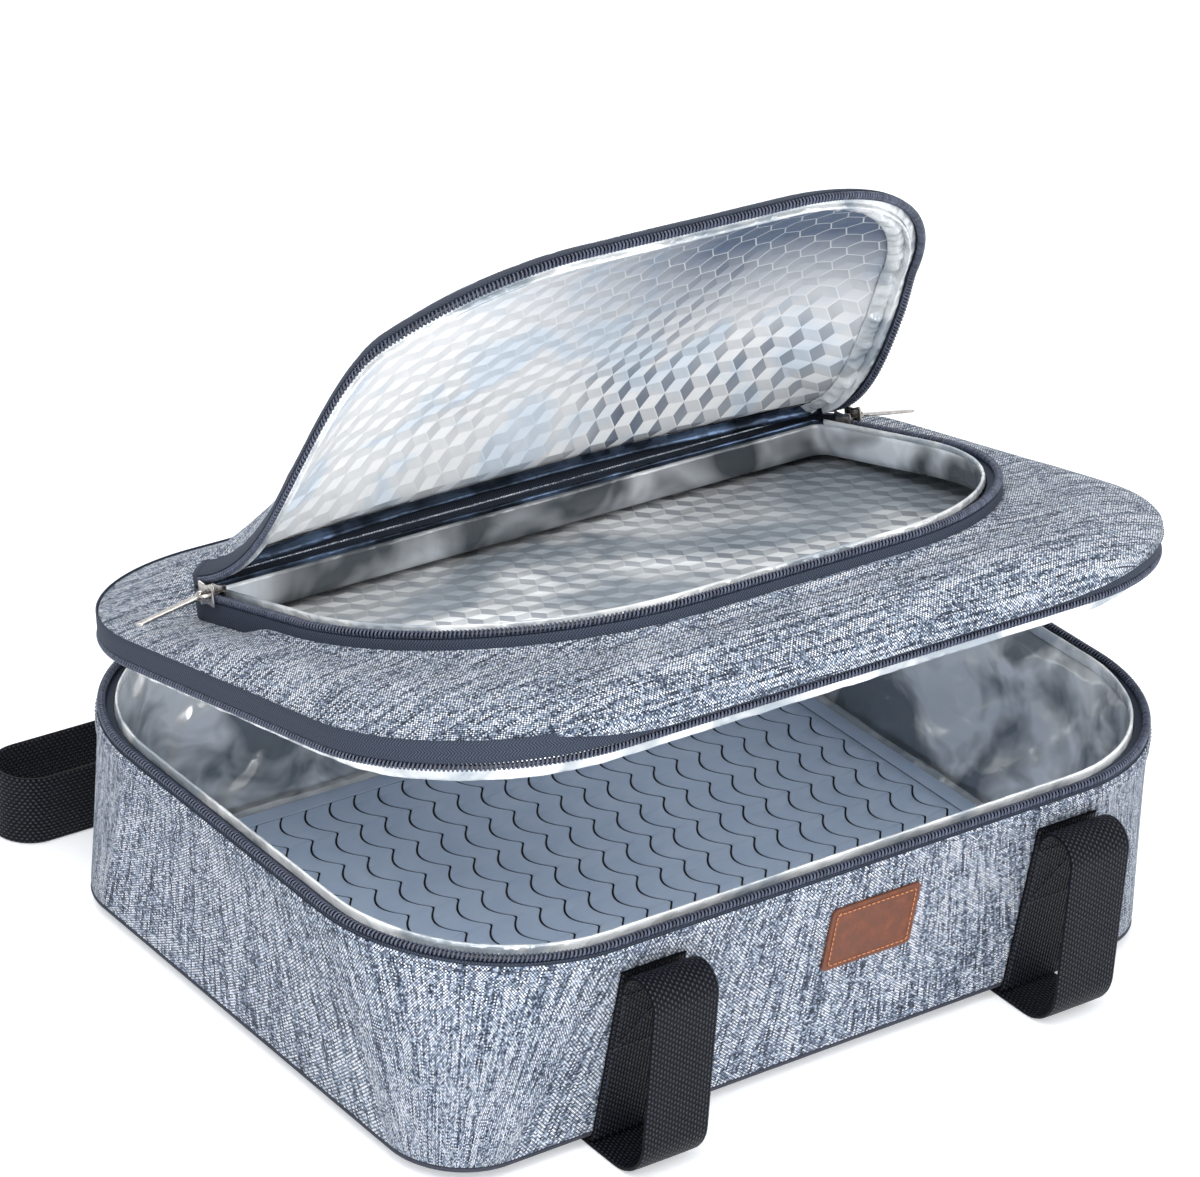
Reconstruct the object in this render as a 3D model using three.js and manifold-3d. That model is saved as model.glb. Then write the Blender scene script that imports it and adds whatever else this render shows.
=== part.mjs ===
// Double-decker casserole carrier with a zipped lid and a zipped top flap, lid and flap half open.
// Millimetres, +Z up, front face towards -Y. The origin lies under the middle of the tub,
// on the surface that the carrier stands on.
import * as THREE from 'three';
import Module from 'manifold-3d';
import { mergeVertices } from 'three/addons/utils/BufferGeometryUtils.js';

// Clearances and cloth thicknesses
const seatGap = 0.3;
const clothThickness = 1.2;
const foamThickness = 5;
const foilThickness = 0.6;
const tapeThickness = 0.9;
const webbingThickness = 1.8;
const stripThickness = 1.6;

// Tub: an upright box with rounded corners that flares a little towards its zip
const tubBaseWidth = 380;
const tubBaseDepth = 279;
const tubFlare = 13;
const zipHeight = 99;
const baseCornerRadius = 33;
const rimCornerRadius = 85;
const pipingSize = 2.2;
const boardThickness = 3;
const matThickness = 3;
const matMargin = 5;
const matCornerRadius = 24;

// Zips: a coil on each side of the zip line and a band of tape behind it
const coilSize = 3;
const coilProud = 0.3;
const zipSplit = 0.8;
const tapeHeight = 9;
const bindingHeight = 5.4;
const bindingThickness = 1.6;
const rimTapeThickness = 0.8;
const lipHeight = 8.4;
const lipDrop = 3.5;
const lipClearance = 1;

// Lid: opens on a cloth strip at the back, which lets it lift as well as turn
const lidOpenAngle = THREE.MathUtils.degToRad(11.5);
const lidLift = 18.4;
const hingeHalfWidth = 84;
const hingeStripThickness = 1;
const hingeStripOverlap = 7;
const shoulderBulge = 5.5;
const lidFoamThickness = 3;
const dividerThickness = 2.4;
const dividerDrop = 2.3;
const shoulderGap = 0.95;

// Top opening in the lid, and the flap that closes it
const openingWidth = 333.6;
const openingDepth = 195.5;
const openingFrontRadius = 115;
const openingBackRadius = 12.6;
const openingBackLine = 81;
const openingBackHeight = 24.7;
const openingTilt = THREE.MathUtils.degToRad(3.8);
const zipEndSetback = 13.5;
const flapOpenAngle = THREE.MathUtils.degToRad(41);
const flapCrown = 9;
const flapShoulder = 30;
const flapFoamThickness = 4;
const gatherWidth = 6.5;

// Zip sliders and their pulls
const sliderLength = 12;
const sliderPlate = 1.2;
const sliderOuterDrop = 6.5;
const sliderLowRise = 2.3;
const sliderTallRise = 6.5;
const sliderWebHalf = 0.5;
const sliderPlay = 0.8;
const sliderInnerPlay = 1;
const earLength = 1.2;
const earHeight = 3;
const pinRadius = 0.7;
const pullLength = 32;
const pullWidth = 4;
const pullTipWidth = 3;
const pullThickness = 1.5;
const pullEyeRadius = 2;
const pullEyePlay = 0.4;
const mainSliderAngle = THREE.MathUtils.degToRad(25);
const topPullRest = 1.5;
const topSliderSetback = 22;

// Webbing: strips sewn round the tub, and the two carrying handles
const webbingWidth = 32;
const webbingSpread = 107;
const webbingMiddleX = 6;
const sewnTop = 74;
const handleLap = 8;
const handleLapGap = 0.6;
const archRadius = 10;
const floorBend = 17;
const handleTurnRadius = 30;
const frontHandleReach = 141;
const gripLength = 112;
const gripMargin = 4;
const gripPadding = 1;
const stripStepLength = 20;
const stripStepMargin = 6;
const stripBend = 1.2;
const backDropRadius = 27;
const backLoopEnd = 198;
const backLoopRadius = 16;
const backSwayLength = 170;
const edgeClearance = 0.3;

// Leather patch on the front face
const patchWidth = 46;
const patchHeight = 31;
const patchThickness = 1.4;
const patchCornerRadius = 2.5;
const patchMiddleHeight = 61;
const patchMiddleX = 13;

// Facets
const cornerSteps = 8;
const bendSteps = 8;
const archSteps = 12;
const shoulderSteps = 6;
const roundSides = 16;
const tightestRadius = 1;

// Sizes that follow from the ones above
const tubRimDepth = tubBaseDepth + 2 * tubFlare;
const baseRise = 2 * gripPadding + webbingThickness + 3 * seatGap;
const foamInset = clothThickness + seatGap;
const linerInset = foamInset + foamThickness + seatGap;
const coilOutside = zipSplit + coilSize;
const tapeStart = coilOutside + seatGap;
const tapeEnd = tapeStart + tapeHeight;
const liningTop = tapeStart + rimTapeThickness + seatGap;
const floorTop = seatGap + clothThickness + seatGap + boardThickness + seatGap;
const matBottom = floorTop + foilThickness + seatGap;
const hingeAxisY = tubRimDepth / 2 + seatGap + hingeStripThickness + seatGap;
const lipInset = linerInset + bindingThickness + lipClearance;
const pinReach = pullEyeRadius + seatGap;
const earReach = pinReach + pinRadius + seatGap;
const topPullDrop = tapeEnd + seatGap - shoulderBulge - pullThickness - topPullRest;
const topPullDip = Math.asin(topPullDrop / pullLength);

const heather = { color: 0x707c8b, roughness: 0.95, metalness: 0 };
const darkTape = { color: 0x3b424e, roughness: 0.85, metalness: 0 };
const blackCoil = { color: 0x23262c, roughness: 0.55, metalness: 0 };
const webbing = { color: 0x25272d, roughness: 0.75, metalness: 0 };
const foil = { color: 0xc4ced8, roughness: 0.22, metalness: 1 };
const foam = { color: 0xd9d9d4, roughness: 1, metalness: 0 };
const board = { color: 0x8d8f92, roughness: 0.9, metalness: 0 };
const silicone = { color: 0x5d6f82, roughness: 0.6, metalness: 0 };
const leather = { color: 0x9a5a34, roughness: 0.6, metalness: 0 };
const gunmetal = { color: 0x55565a, roughness: 0.3, metalness: 1 };

// A closed skin over stations of equal rings: either a loop of stations, or one with closed ends
function sweep(stations, closed = false) {
  const ringSize = stations[0].length;
  const vertices = stations.flat();
  const triangles = [];
  const spans = closed ? stations.length : stations.length - 1;
  for (let station = 0; station < spans; station++) {
    const here = station * ringSize;
    const next = ((station + 1) % stations.length) * ringSize;
    for (let index = 0; index < ringSize; index++) {
      const after = (index + 1) % ringSize;
      triangles.push([here + index, here + after, next + after]);
      triangles.push([here + index, next + after, next + index]);
    }
  }
  if (!closed) {
    for (const end of [0, stations.length - 1]) {
      const middle = new THREE.Vector3();
      stations[end].forEach((point) => middle.add(point));
      vertices.push(middle.divideScalar(ringSize));
      const pole = vertices.length - 1;
      for (let index = 0; index < ringSize; index++) {
        const here = end * ringSize + index;
        const after = end * ringSize + (index + 1) % ringSize;
        triangles.push(end === 0 ? [pole, after, here] : [pole, here, after]);
      }
    }
  }
  return facingOut(vertices, triangles);
}

// A geometry whose triangles all face away from its inside
function facingOut(vertices, triangles) {
  const crossed = new THREE.Vector3();
  let volume = 0;
  for (const [first, second, third] of triangles) {
    volume += vertices[first].dot(crossed.crossVectors(vertices[second], vertices[third]));
  }
  const turned = ([first, second, third]) => [first, third, second];
  const order = volume < 0 ? triangles.map(turned) : triangles;
  const places = vertices.flatMap((vertex) => vertex.toArray());
  const geometry = new THREE.BufferGeometry();
  geometry.setAttribute('position', new THREE.Float32BufferAttribute(places, 3));
  geometry.setIndex(order.flat());
  geometry.computeVertexNormals();
  return geometry;
}

// Rounded rectangles, counterclockwise from the left end of the back edge
const corners = {
  backLeft: { side: -1, end: 1, from: Math.PI / 2 },
  frontLeft: { side: -1, end: -1, from: Math.PI },
  frontRight: { side: 1, end: -1, from: Math.PI * 1.5 },
  backRight: { side: 1, end: 1, from: 0 },
};
const wholeRun = { corners: ['backLeft', 'frontLeft', 'frontRight', 'backRight'], closed: true };
const mainZipRun = {
  corners: wholeRun.corners,
  closed: false,
  ends: (halfWidth, backEdge) => [
    [-hingeHalfWidth - seatGap, backEdge],
    [hingeHalfWidth + seatGap, backEdge],
  ],
};
const hingeRun = {
  corners: [],
  closed: false,
  ends: (halfWidth, backEdge) => [[hingeHalfWidth, backEdge], [-hingeHalfWidth, backEdge]],
};
const topZipRun = {
  corners: ['frontLeft', 'frontRight'],
  closed: false,
  ends: (halfWidth) => [[-halfWidth, -zipEndSetback], [halfWidth, -zipEndSetback]],
};
const topHingeRun = {
  corners: ['backRight', 'backLeft'],
  closed: false,
  ends: (halfWidth) => [[halfWidth, seatGap - zipEndSetback], [-halfWidth, seatGap - zipEndSetback]],
};

function outline(shape, inset, run = wholeRun) {
  const halfWidth = shape.width / 2 - inset;
  const halfDepth = shape.depth / 2 - inset;
  const points = [];
  for (const name of run.corners) {
    const corner = corners[name];
    const fullRadius = corner.end > 0 ? shape.backRadius : shape.frontRadius;
    const radius = Math.max(fullRadius - inset, tightestRadius);
    for (let step = 0; step <= cornerSteps; step++) {
      const angle = corner.from + (Math.PI / 2) * (step / cornerSteps);
      const x = corner.side * (halfWidth - radius) + radius * Math.cos(angle);
      const y = shape.middleY + corner.end * (halfDepth - radius) + radius * Math.sin(angle);
      points.push([x, y]);
    }
  }
  if (run.ends) {
    const [first, last] = run.ends(halfWidth, shape.middleY + halfDepth);
    points.unshift(first);
    points.push(last);
  }
  return points;
}

function ring(shape, inset, height, run) {
  return outline(shape, inset, run).map(([x, y]) => new THREE.Vector3(x, y, height));
}

// A band that follows an outline: its section is a list of [inset, height] corners
function band(shapeAt, section, run = wholeRun) {
  const rings = section.map(([inset, height]) => ring(shapeAt(height), inset, height, run));
  const stations = rings[0].map((point, index) => rings.map((line) => line[index]));
  return sweep(stations, run.closed);
}

function rectangle(nearInset, farInset, low, high) {
  return [[nearInset, low], [farInset, low], [farInset, high], [nearInset, high]];
}

// A flat plate with the outline of a shape
function plate(shapeAt, inset, low, high) {
  return sweep([ring(shapeAt(low), inset, low), ring(shapeAt(high), inset, high)]);
}

function rowNormals(grid) {
  const lastRow = grid.length - 1;
  return grid.map((row, rowIndex) => row.map((point, index) => {
    const along = row[(index + 1) % row.length].clone().sub(row[(index - 1 + row.length) % row.length]);
    const upper = grid[Math.min(rowIndex + 1, lastRow)][index];
    const across = upper.clone().sub(grid[Math.max(rowIndex - 1, 0)][index]);
    return along.cross(across).normalize();
  }));
}

function layer(grid, depth) {
  const normals = rowNormals(grid);
  return grid.map((row, rowIndex) => row.map((point, index) => (
    point.clone().addScaledVector(normals[rowIndex][index], -depth))));
}

// A wall of even thickness under a surface whose rows run round an outline, from one row up
function wallUnder(grid, nearDepth, farDepth, firstRow = 0) {
  const outer = layer(grid, nearDepth).slice(firstRow);
  const inner = layer(grid, farDepth).slice(firstRow);
  const stations = grid[0].map((point, index) => (
    [...outer.map((row) => row[index]), ...inner.map((row) => row[index]).reverse()]));
  return sweep(stations, true);
}

// A domed plate under a surface whose rows close in on its middle
function domeUnder(grid, nearDepth, farDepth) {
  const outer = layer(grid, nearDepth);
  const inner = layer(grid, farDepth);
  return sweep([...inner.reverse(), ...outer]);
}

// A flat strap along a line of { point, side }, where side points across its width
function strap(line, width, thickness) {
  const stations = line.map(({ point, side }, index) => {
    const before = line[Math.max(index - 1, 0)].point;
    const after = line[Math.min(index + 1, line.length - 1)].point;
    const tangent = after.clone().sub(before).normalize();
    const face = tangent.cross(side).normalize();
    return [[-1, -1], [1, -1], [1, 1], [-1, 1]].map(([across, through]) => (
      point.clone()
        .addScaledVector(side, across * width / 2)
        .addScaledVector(face, through * thickness / 2)));
  });
  return sweep(stations);
}

function pathPoint(x, y, z, side) {
  return { point: new THREE.Vector3(x, y, z), side: side.clone() };
}

// The corners of a line of [y, z] points rounded with the same bend
function roundedLine(points, bend) {
  const line = [points[0]];
  for (let index = 1; index < points.length - 1; index++) {
    const corner = new THREE.Vector2(...points[index]);
    const before = new THREE.Vector2(...points[index - 1]);
    const after = new THREE.Vector2(...points[index + 1]);
    const reach = Math.min(bend, corner.distanceTo(before) / 2, corner.distanceTo(after) / 2);
    const start = corner.clone().add(before.sub(corner).setLength(reach));
    const end = corner.clone().add(after.sub(corner).setLength(reach));
    const curve = new THREE.QuadraticBezierCurve(start, corner, end);
    line.push(...curve.getPoints(bendSteps / 2).map((point) => point.toArray()));
  }
  line.push(points[points.length - 1]);
  return line;
}

const carrier = new THREE.Group();
carrier.position.z = baseRise;

function addMesh(group, name, geometry, finish) {
  const mesh = new THREE.Mesh(geometry, new THREE.MeshStandardMaterial(finish));
  mesh.name = name;
  group.add(mesh);
  return mesh;
}

// Tub
function tubShape(height) {
  const share = height / zipHeight;
  const radius = baseCornerRadius + (rimCornerRadius - baseCornerRadius) * share;
  return {
    width: tubBaseWidth + 2 * tubFlare * share,
    depth: tubBaseDepth + 2 * tubFlare * share,
    frontRadius: radius,
    backRadius: radius,
    middleY: 0,
  };
}

function tubFaceY(height) {
  return tubShape(height).depth / 2;
}

function makeTub(group) {
  const tapeTop = zipHeight - tapeStart;
  const wallTop = zipHeight - tapeEnd - seatGap;
  const wallBottom = pipingSize + seatGap;
  const foamTop = zipHeight - liningTop;
  const boardBottom = seatGap + clothThickness + seatGap;
  addMesh(group, 'tub_wall_fabric',
    band(tubShape, rectangle(0, clothThickness, wallBottom, wallTop)), heather);
  addMesh(group, 'tub_base_piping', band(tubShape, rectangle(0, pipingSize, 0, pipingSize)), webbing);
  addMesh(group, 'tub_base_fabric',
    plate(tubShape, pipingSize + seatGap, seatGap, seatGap + clothThickness), heather);
  addMesh(group, 'tub_base_board',
    plate(tubShape, linerInset, boardBottom, boardBottom + boardThickness), board);
  const foamBottom = pipingSize + seatGap;
  addMesh(group, 'tub_wall_foam',
    band(tubShape, rectangle(foamInset, foamInset + foamThickness, foamBottom, foamTop)), foam);
  const bindingTop = zipHeight - seatGap;
  const linerTop = bindingTop - bindingHeight - seatGap;
  const linerRing = (inset, height) => ring(tubShape(height), inset, height);
  addMesh(group, 'tub_liner', sweep([
    linerRing(linerInset, floorTop),
    linerRing(linerInset, linerTop),
    linerRing(linerInset + foilThickness, linerTop),
    linerRing(linerInset + foilThickness, floorTop + foilThickness),
  ]), foil);
  addMesh(group, 'tub_liner_binding', band(tubShape,
    rectangle(linerInset, linerInset + bindingThickness, linerTop + seatGap, bindingTop)), foil);
  addMesh(group, 'tub_rim_tape', band(tubShape,
    rectangle(foamInset, linerInset - seatGap, tapeTop - rimTapeThickness, tapeTop)), darkTape);
  addMesh(group, 'tub_zip_tape',
    band(tubShape, rectangle(0, tapeThickness, zipHeight - tapeEnd, tapeTop), mainZipRun), darkTape);
  const coil = rectangle(-coilProud, coilSize - coilProud, zipHeight - coilOutside, zipHeight - zipSplit);
  addMesh(group, 'tub_zip_coil', band(tubShape, coil, mainZipRun), blackCoil);
  addMesh(group, 'tub_hinge_band', band(tubShape,
    rectangle(0, tapeThickness, zipHeight - tapeEnd, zipHeight - zipSplit), hingeRun), heather);
}

// Leather patch, flat against the leaning front wall
function makePatch(group) {
  const cornerX = patchWidth / 2 - patchCornerRadius;
  const cornerY = patchHeight / 2 - patchCornerRadius;
  const shape = new THREE.Shape();
  const quarter = Math.PI / 2;
  [[1, -1], [1, 1], [-1, 1], [-1, -1]].forEach(([side, end], turn) => {
    const start = (turn - 1) * quarter;
    shape.absarc(side * cornerX, end * cornerY, patchCornerRadius, start, start + quarter);
  });
  const geometry = new THREE.ExtrudeGeometry(shape, {
    depth: patchThickness, bevelEnabled: false, curveSegments: bendSteps / 2,
  });
  const patch = addMesh(group, 'leather_patch', geometry, leather);
  patch.position.set(patchMiddleX, -tubFaceY(patchMiddleHeight) - seatGap, patchMiddleHeight);
  patch.rotation.x = Math.PI / 2 + Math.atan2(tubFlare, zipHeight);
}

// Silicone mat on the tub's floor
function makeMat(group) {
  const floor = tubShape(matBottom);
  const shape = {
    width: floor.width - 2 * (linerInset + foilThickness + matMargin),
    depth: floor.depth - 2 * (linerInset + foilThickness + matMargin),
    frontRadius: matCornerRadius,
    backRadius: matCornerRadius,
    middleY: 0,
  };
  addMesh(group, 'silicone_mat', plate(() => shape, 0, matBottom, matBottom + matThickness), silicone);
}

// The cloth strip between tub and lid slides up the back of the tub as it unfolds
function makeHingeStrip(group) {
  const near = -seatGap;
  const section = rectangle(near, near - hingeStripThickness,
    zipHeight - hingeStripOverlap, zipHeight + lidLift - seatGap);
  const rim = tubShape(zipHeight);
  addMesh(group, 'lid_hinge_strip', band(() => rim, section, hingeRun), heather);
}

// Lid, in the tub's own X and Y, with heights from its zip line
const openingShape = {
  width: openingWidth,
  depth: openingDepth,
  frontRadius: openingFrontRadius,
  backRadius: openingBackRadius,
  middleY: -openingDepth / 2,
};

const lidPivot = new THREE.Group();
lidPivot.position.set(0, hingeAxisY, zipHeight + lidLift);
lidPivot.rotation.x = -lidOpenAngle;
const lid = new THREE.Group();
lid.position.y = -hingeAxisY;
lidPivot.add(lid);

const opening = new THREE.Group();
opening.position.set(0, openingBackLine, openingBackHeight);
opening.rotation.x = -openingTilt;
opening.updateMatrix();
lid.add(opening);

// Rows of the lid's outer surface: up its band, then over the shoulder to the foot of the collar
function shoulderGrid() {
  const rim = tubShape(zipHeight);
  const footDrop = tapeEnd + seatGap;
  const foot = ring(openingShape, 0, -footDrop).map((point) => point.applyMatrix4(opening.matrix));
  const low = ring(rim, 0, tapeEnd + seatGap + clothThickness);
  const grid = [ring(rim, 0, liningTop + seatGap)];
  for (let row = 0; row <= shoulderSteps; row++) {
    const share = row / shoulderSteps;
    const lift = shoulderBulge * Math.sin(Math.PI * share);
    grid.push(low.map((point, index) => {
      const mixed = point.clone().lerp(foot[index], share);
      mixed.z += lift;
      return mixed;
    }));
  }
  return grid;
}

function makeLid(group) {
  const rimShape = tubShape(zipHeight);
  const rim = () => rimShape;
  const grid = shoulderGrid();
  const foamDepth = clothThickness + shoulderGap;
  const linerDepth = foamDepth + lidFoamThickness + shoulderGap;
  addMesh(group, 'lid_shoulder_fabric', wallUnder(grid, 0, clothThickness, 1), heather);
  addMesh(group, 'lid_shoulder_foam', wallUnder(grid, foamDepth, foamDepth + lidFoamThickness), foam);
  addMesh(group, 'lid_liner', wallUnder(grid, linerDepth, linerDepth + foilThickness), foil);
  addMesh(group, 'lid_zip_coil',
    band(rim, rectangle(-coilProud, coilSize - coilProud, zipSplit, coilOutside), mainZipRun), blackCoil);
  addMesh(group, 'lid_zip_tape',
    band(rim, rectangle(0, tapeThickness, tapeStart, tapeEnd), mainZipRun), darkTape);
  addMesh(group, 'lid_hinge_band',
    band(rim, rectangle(0, tapeThickness, seatGap, tapeEnd), hingeRun), heather);
  const rimTapeEnd = lipInset - seatGap;
  addMesh(group, 'lid_rim_tape',
    band(rim, rectangle(foamInset, rimTapeEnd, tapeStart, tapeStart + rimTapeThickness)), darkTape);
  const lip = rectangle(lipInset, lipInset + bindingThickness, -lipDrop, lipHeight - lipDrop);
  addMesh(group, 'lid_lower_binding', band(rim, lip), foil);
  const boardInset = lipInset + bindingThickness + seatGap;
  const boardTop = lipHeight - lipDrop - dividerDrop;
  const boardBottom = boardTop - dividerThickness;
  addMesh(group, 'lid_divider_board', plate(rim, boardInset, boardBottom, boardTop), board);
  const floor = boardTop + seatGap;
  addMesh(group, 'lid_divider_foil',
    plate(rim, boardInset, floor, floor + foilThickness), foil);
  const underside = boardBottom - seatGap;
  addMesh(group, 'lid_underside_foil', plate(rim, boardInset, underside - foilThickness, underside), foil);
}

// Collar round the top opening, in the opening's own plane with its back edge as the X axis
function makeCollar(group) {
  const shape = () => openingShape;
  addMesh(group, 'collar_zip_coil',
    band(shape, rectangle(-coilProud, coilSize - coilProud, -coilOutside, -zipSplit), topZipRun), blackCoil);
  addMesh(group, 'collar_zip_tape',
    band(shape, rectangle(0, tapeThickness, -tapeEnd, -tapeStart), topZipRun), darkTape);
  addMesh(group, 'collar_hinge_band',
    band(shape, rectangle(0, tapeThickness, -tapeEnd, -seatGap / 2), topHingeRun), heather);
  const rimTapeEnd = linerInset - seatGap;
  addMesh(group, 'collar_rim_tape',
    band(shape, rectangle(foamInset, rimTapeEnd, -tapeStart - rimTapeThickness, -tapeStart)), darkTape);
  addMesh(group, 'collar_binding', band(shape,
    rectangle(linerInset, linerInset + bindingThickness, -bindingHeight - seatGap, -seatGap)), foil);
}

// Flap, closed in the opening's plane and turned open on its back edge
const flapAxisY = seatGap;
const flapPivot = new THREE.Group();
flapPivot.position.y = flapAxisY;
flapPivot.rotation.x = -flapOpenAngle;
const flap = new THREE.Group();
flap.position.y = -flapAxisY;
flapPivot.add(flap);
opening.add(flapPivot);

// Rows of a crowned surface that starts at an inset and a height and rises towards the middle
function crownGrid(startInset, startHeight, crown) {
  const insetShares = [0, 0.12, 0.3, 0.6, 1];
  return insetShares.map((share) => {
    const rise = crown * Math.sin(share * Math.PI / 2);
    return ring(openingShape, startInset + flapShoulder * share, startHeight + rise);
  });
}

function makeFlap(group) {
  const shape = () => openingShape;
  const clothStart = tapeEnd + seatGap;
  const foamDepth = clothThickness + seatGap;
  const panelDepth = foamDepth + flapFoamThickness + seatGap;
  const surface = crownGrid(0, clothStart + foamDepth, flapCrown);
  addMesh(group, 'flap_fabric', domeUnder(surface, 0, clothThickness), heather);
  const foamSurface = crownGrid(foamInset, clothStart + foamDepth, flapCrown);
  addMesh(group, 'flap_foam', domeUnder(foamSurface, foamDepth, foamDepth + flapFoamThickness), foam);
  const panelStart = linerInset + gatherWidth + seatGap;
  const panelSurface = crownGrid(panelStart, clothStart + foamDepth, flapCrown);
  addMesh(group, 'flap_foil_panel', domeUnder(panelSurface, panelDepth, panelDepth + foilThickness), foil);
  const gatherTop = clothStart + foamDepth - panelDepth;
  const bindingTop = seatGap + bindingHeight;
  addMesh(group, 'flap_gathered_foil', band(shape, [
    [linerInset, bindingTop + seatGap],
    [linerInset + bindingThickness, bindingTop + seatGap],
    [linerInset + gatherWidth, gatherTop - foilThickness],
    [linerInset + gatherWidth - bindingThickness, gatherTop],
  ]), foil);
  addMesh(group, 'flap_binding',
    band(shape, rectangle(linerInset, linerInset + bindingThickness, seatGap, bindingTop)), foil);
  const rimTapeEnd = linerInset - seatGap;
  addMesh(group, 'flap_rim_tape',
    band(shape, rectangle(foamInset, rimTapeEnd, tapeStart, tapeStart + rimTapeThickness)), darkTape);
  addMesh(group, 'flap_zip_tape',
    band(shape, rectangle(0, tapeThickness, tapeStart, tapeEnd), topZipRun), darkTape);
  addMesh(group, 'flap_zip_coil',
    band(shape, rectangle(-coilProud, coilSize - coilProud, zipSplit, coilOutside), topZipRun), blackCoil);
  addMesh(group, 'flap_hinge_band',
    band(shape, rectangle(0, tapeThickness, seatGap / 2, tapeEnd), topHingeRun), heather);
}

// Boolean joins
const wasm = await Module();
wasm.setup();

function toSolid(geometry) {
  const bare = geometry.clone();
  bare.deleteAttribute('normal');
  bare.deleteAttribute('uv');
  const merged = mergeVertices(bare);
  return new wasm.Manifold(new wasm.Mesh({
    numProp: 3,
    vertProperties: new Float32Array(merged.attributes.position.array),
    triVerts: new Uint32Array(merged.index.array),
  }));
}

function joined(geometries) {
  const whole = geometries.map(toSolid).reduce((sum, solid) => sum.add(solid));
  const mesh = whole.getMesh();
  const geometry = new THREE.BufferGeometry();
  geometry.setAttribute('position', new THREE.Float32BufferAttribute(mesh.vertProperties, 3));
  geometry.setIndex(Array.from(mesh.triVerts));
  geometry.computeVertexNormals();
  return geometry;
}

function block(lowX, highX, lowY, highY, lowZ, highZ) {
  const geometry = new THREE.BoxGeometry(highX - lowX, highY - lowY, highZ - lowZ);
  geometry.translate((lowX + highX) / 2, (lowY + highY) / 2, (lowZ + highZ) / 2);
  return geometry;
}

// A slider: X points away from the bag, Y runs along the zip, and Z is 0 on the zip line.
// Its two plates clasp the coils and a web joins them between the coils.
const sliderOuterFace = coilProud + sliderPlay;
const sliderFront = sliderOuterFace + sliderPlate;
const pinX = sliderFront + pinReach;

function sliderGeometry(rise) {
  const half = sliderLength / 2;
  const innerFace = coilProud - coilSize - sliderInnerPlay;
  const innerRise = Math.min(rise, coilOutside);
  const webStart = innerFace - sliderPlate / 2;
  const webEnd = sliderFront - sliderPlate / 2;
  const earEnd = pullWidth / 2 + seatGap + earLength;
  const pin = new THREE.CylinderGeometry(pinRadius, pinRadius, 2 * earEnd - earLength, roundSides);
  pin.translate(pinX, 0, 0);
  const ear = (low, high) => block(
    webEnd, sliderFront + earReach, low, high, -earHeight / 2, earHeight / 2);
  return joined([
    block(sliderOuterFace, sliderFront, -half, half, -sliderOuterDrop, rise),
    block(innerFace - sliderPlate, innerFace, -half, half, -coilOutside, innerRise),
    block(webStart, webEnd, -half, half, -sliderWebHalf, sliderWebHalf),
    ear(earEnd - earLength, earEnd),
    ear(-earEnd, earLength - earEnd),
    pin,
  ]);
}

// A pull hangs down from its eye, which lies round the slider's pin
function pullGeometry() {
  const shape = new THREE.Shape();
  const half = pullThickness / 2;
  const shoulder = Math.asin(half / pullEyeRadius);
  shape.moveTo(half, -pullLength);
  shape.absarc(0, 0, pullEyeRadius, shoulder - Math.PI / 2, Math.PI * 1.5 - shoulder);
  shape.lineTo(-half, -pullLength);
  const hole = new THREE.Path();
  hole.absarc(0, 0, pinRadius + pullEyePlay, 0, 2 * Math.PI, true);
  shape.holes.push(hole);
  const geometry = new THREE.ExtrudeGeometry(shape, {
    depth: pullWidth, bevelEnabled: false, curveSegments: roundSides / 2,
  });
  geometry.translate(0, 0, -pullWidth / 2);
  geometry.rotateX(Math.PI / 2);
  const points = geometry.attributes.position;
  const narrowing = (pullWidth - pullTipWidth) / pullWidth;
  for (let index = 0; index < points.count; index++) {
    const down = Math.max(-points.getZ(index) - pullEyeRadius, 0) / (pullLength - pullEyeRadius);
    points.setY(index, points.getY(index) * (1 - narrowing * down));
  }
  geometry.computeVertexNormals();
  return geometry;
}

function makeSlider(place, name, rise, pullAngle) {
  addMesh(place, `${name}_slider`, sliderGeometry(rise), gunmetal);
  const pullPivot = new THREE.Group();
  pullPivot.position.x = pinX;
  pullPivot.rotation.y = -pullAngle;
  pullPivot.name = `${name}_pull_axis`;
  place.add(pullPivot);
  addMesh(pullPivot, `${name}_pull`, pullGeometry(), gunmetal);
}

function makeSliders() {
  const rim = tubShape(zipHeight);
  for (const [side, word] of [[-1, 'left'], [1, 'right']]) {
    const corner = new THREE.Group();
    corner.name = `main_${word}_axis`;
    corner.position.set(side * (rim.width / 2 - rim.backRadius), rim.depth / 2 - rim.backRadius, zipHeight);
    corner.rotation.z = Math.PI / 2 - side * mainSliderAngle;
    const place = new THREE.Group();
    place.position.x = rim.backRadius;
    corner.add(place);
    carrier.add(corner);
    makeSlider(place, `main_${word}`, sliderLowRise, 0);
    const topPlace = new THREE.Group();
    topPlace.position.set(side * openingWidth / 2, -topSliderSetback, 0);
    topPlace.rotation.z = side > 0 ? 0 : Math.PI;
    opening.add(topPlace);
    makeSlider(topPlace, `top_${word}`, sliderTallRise, Math.PI / 2 - topPullDip);
  }
}

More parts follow.
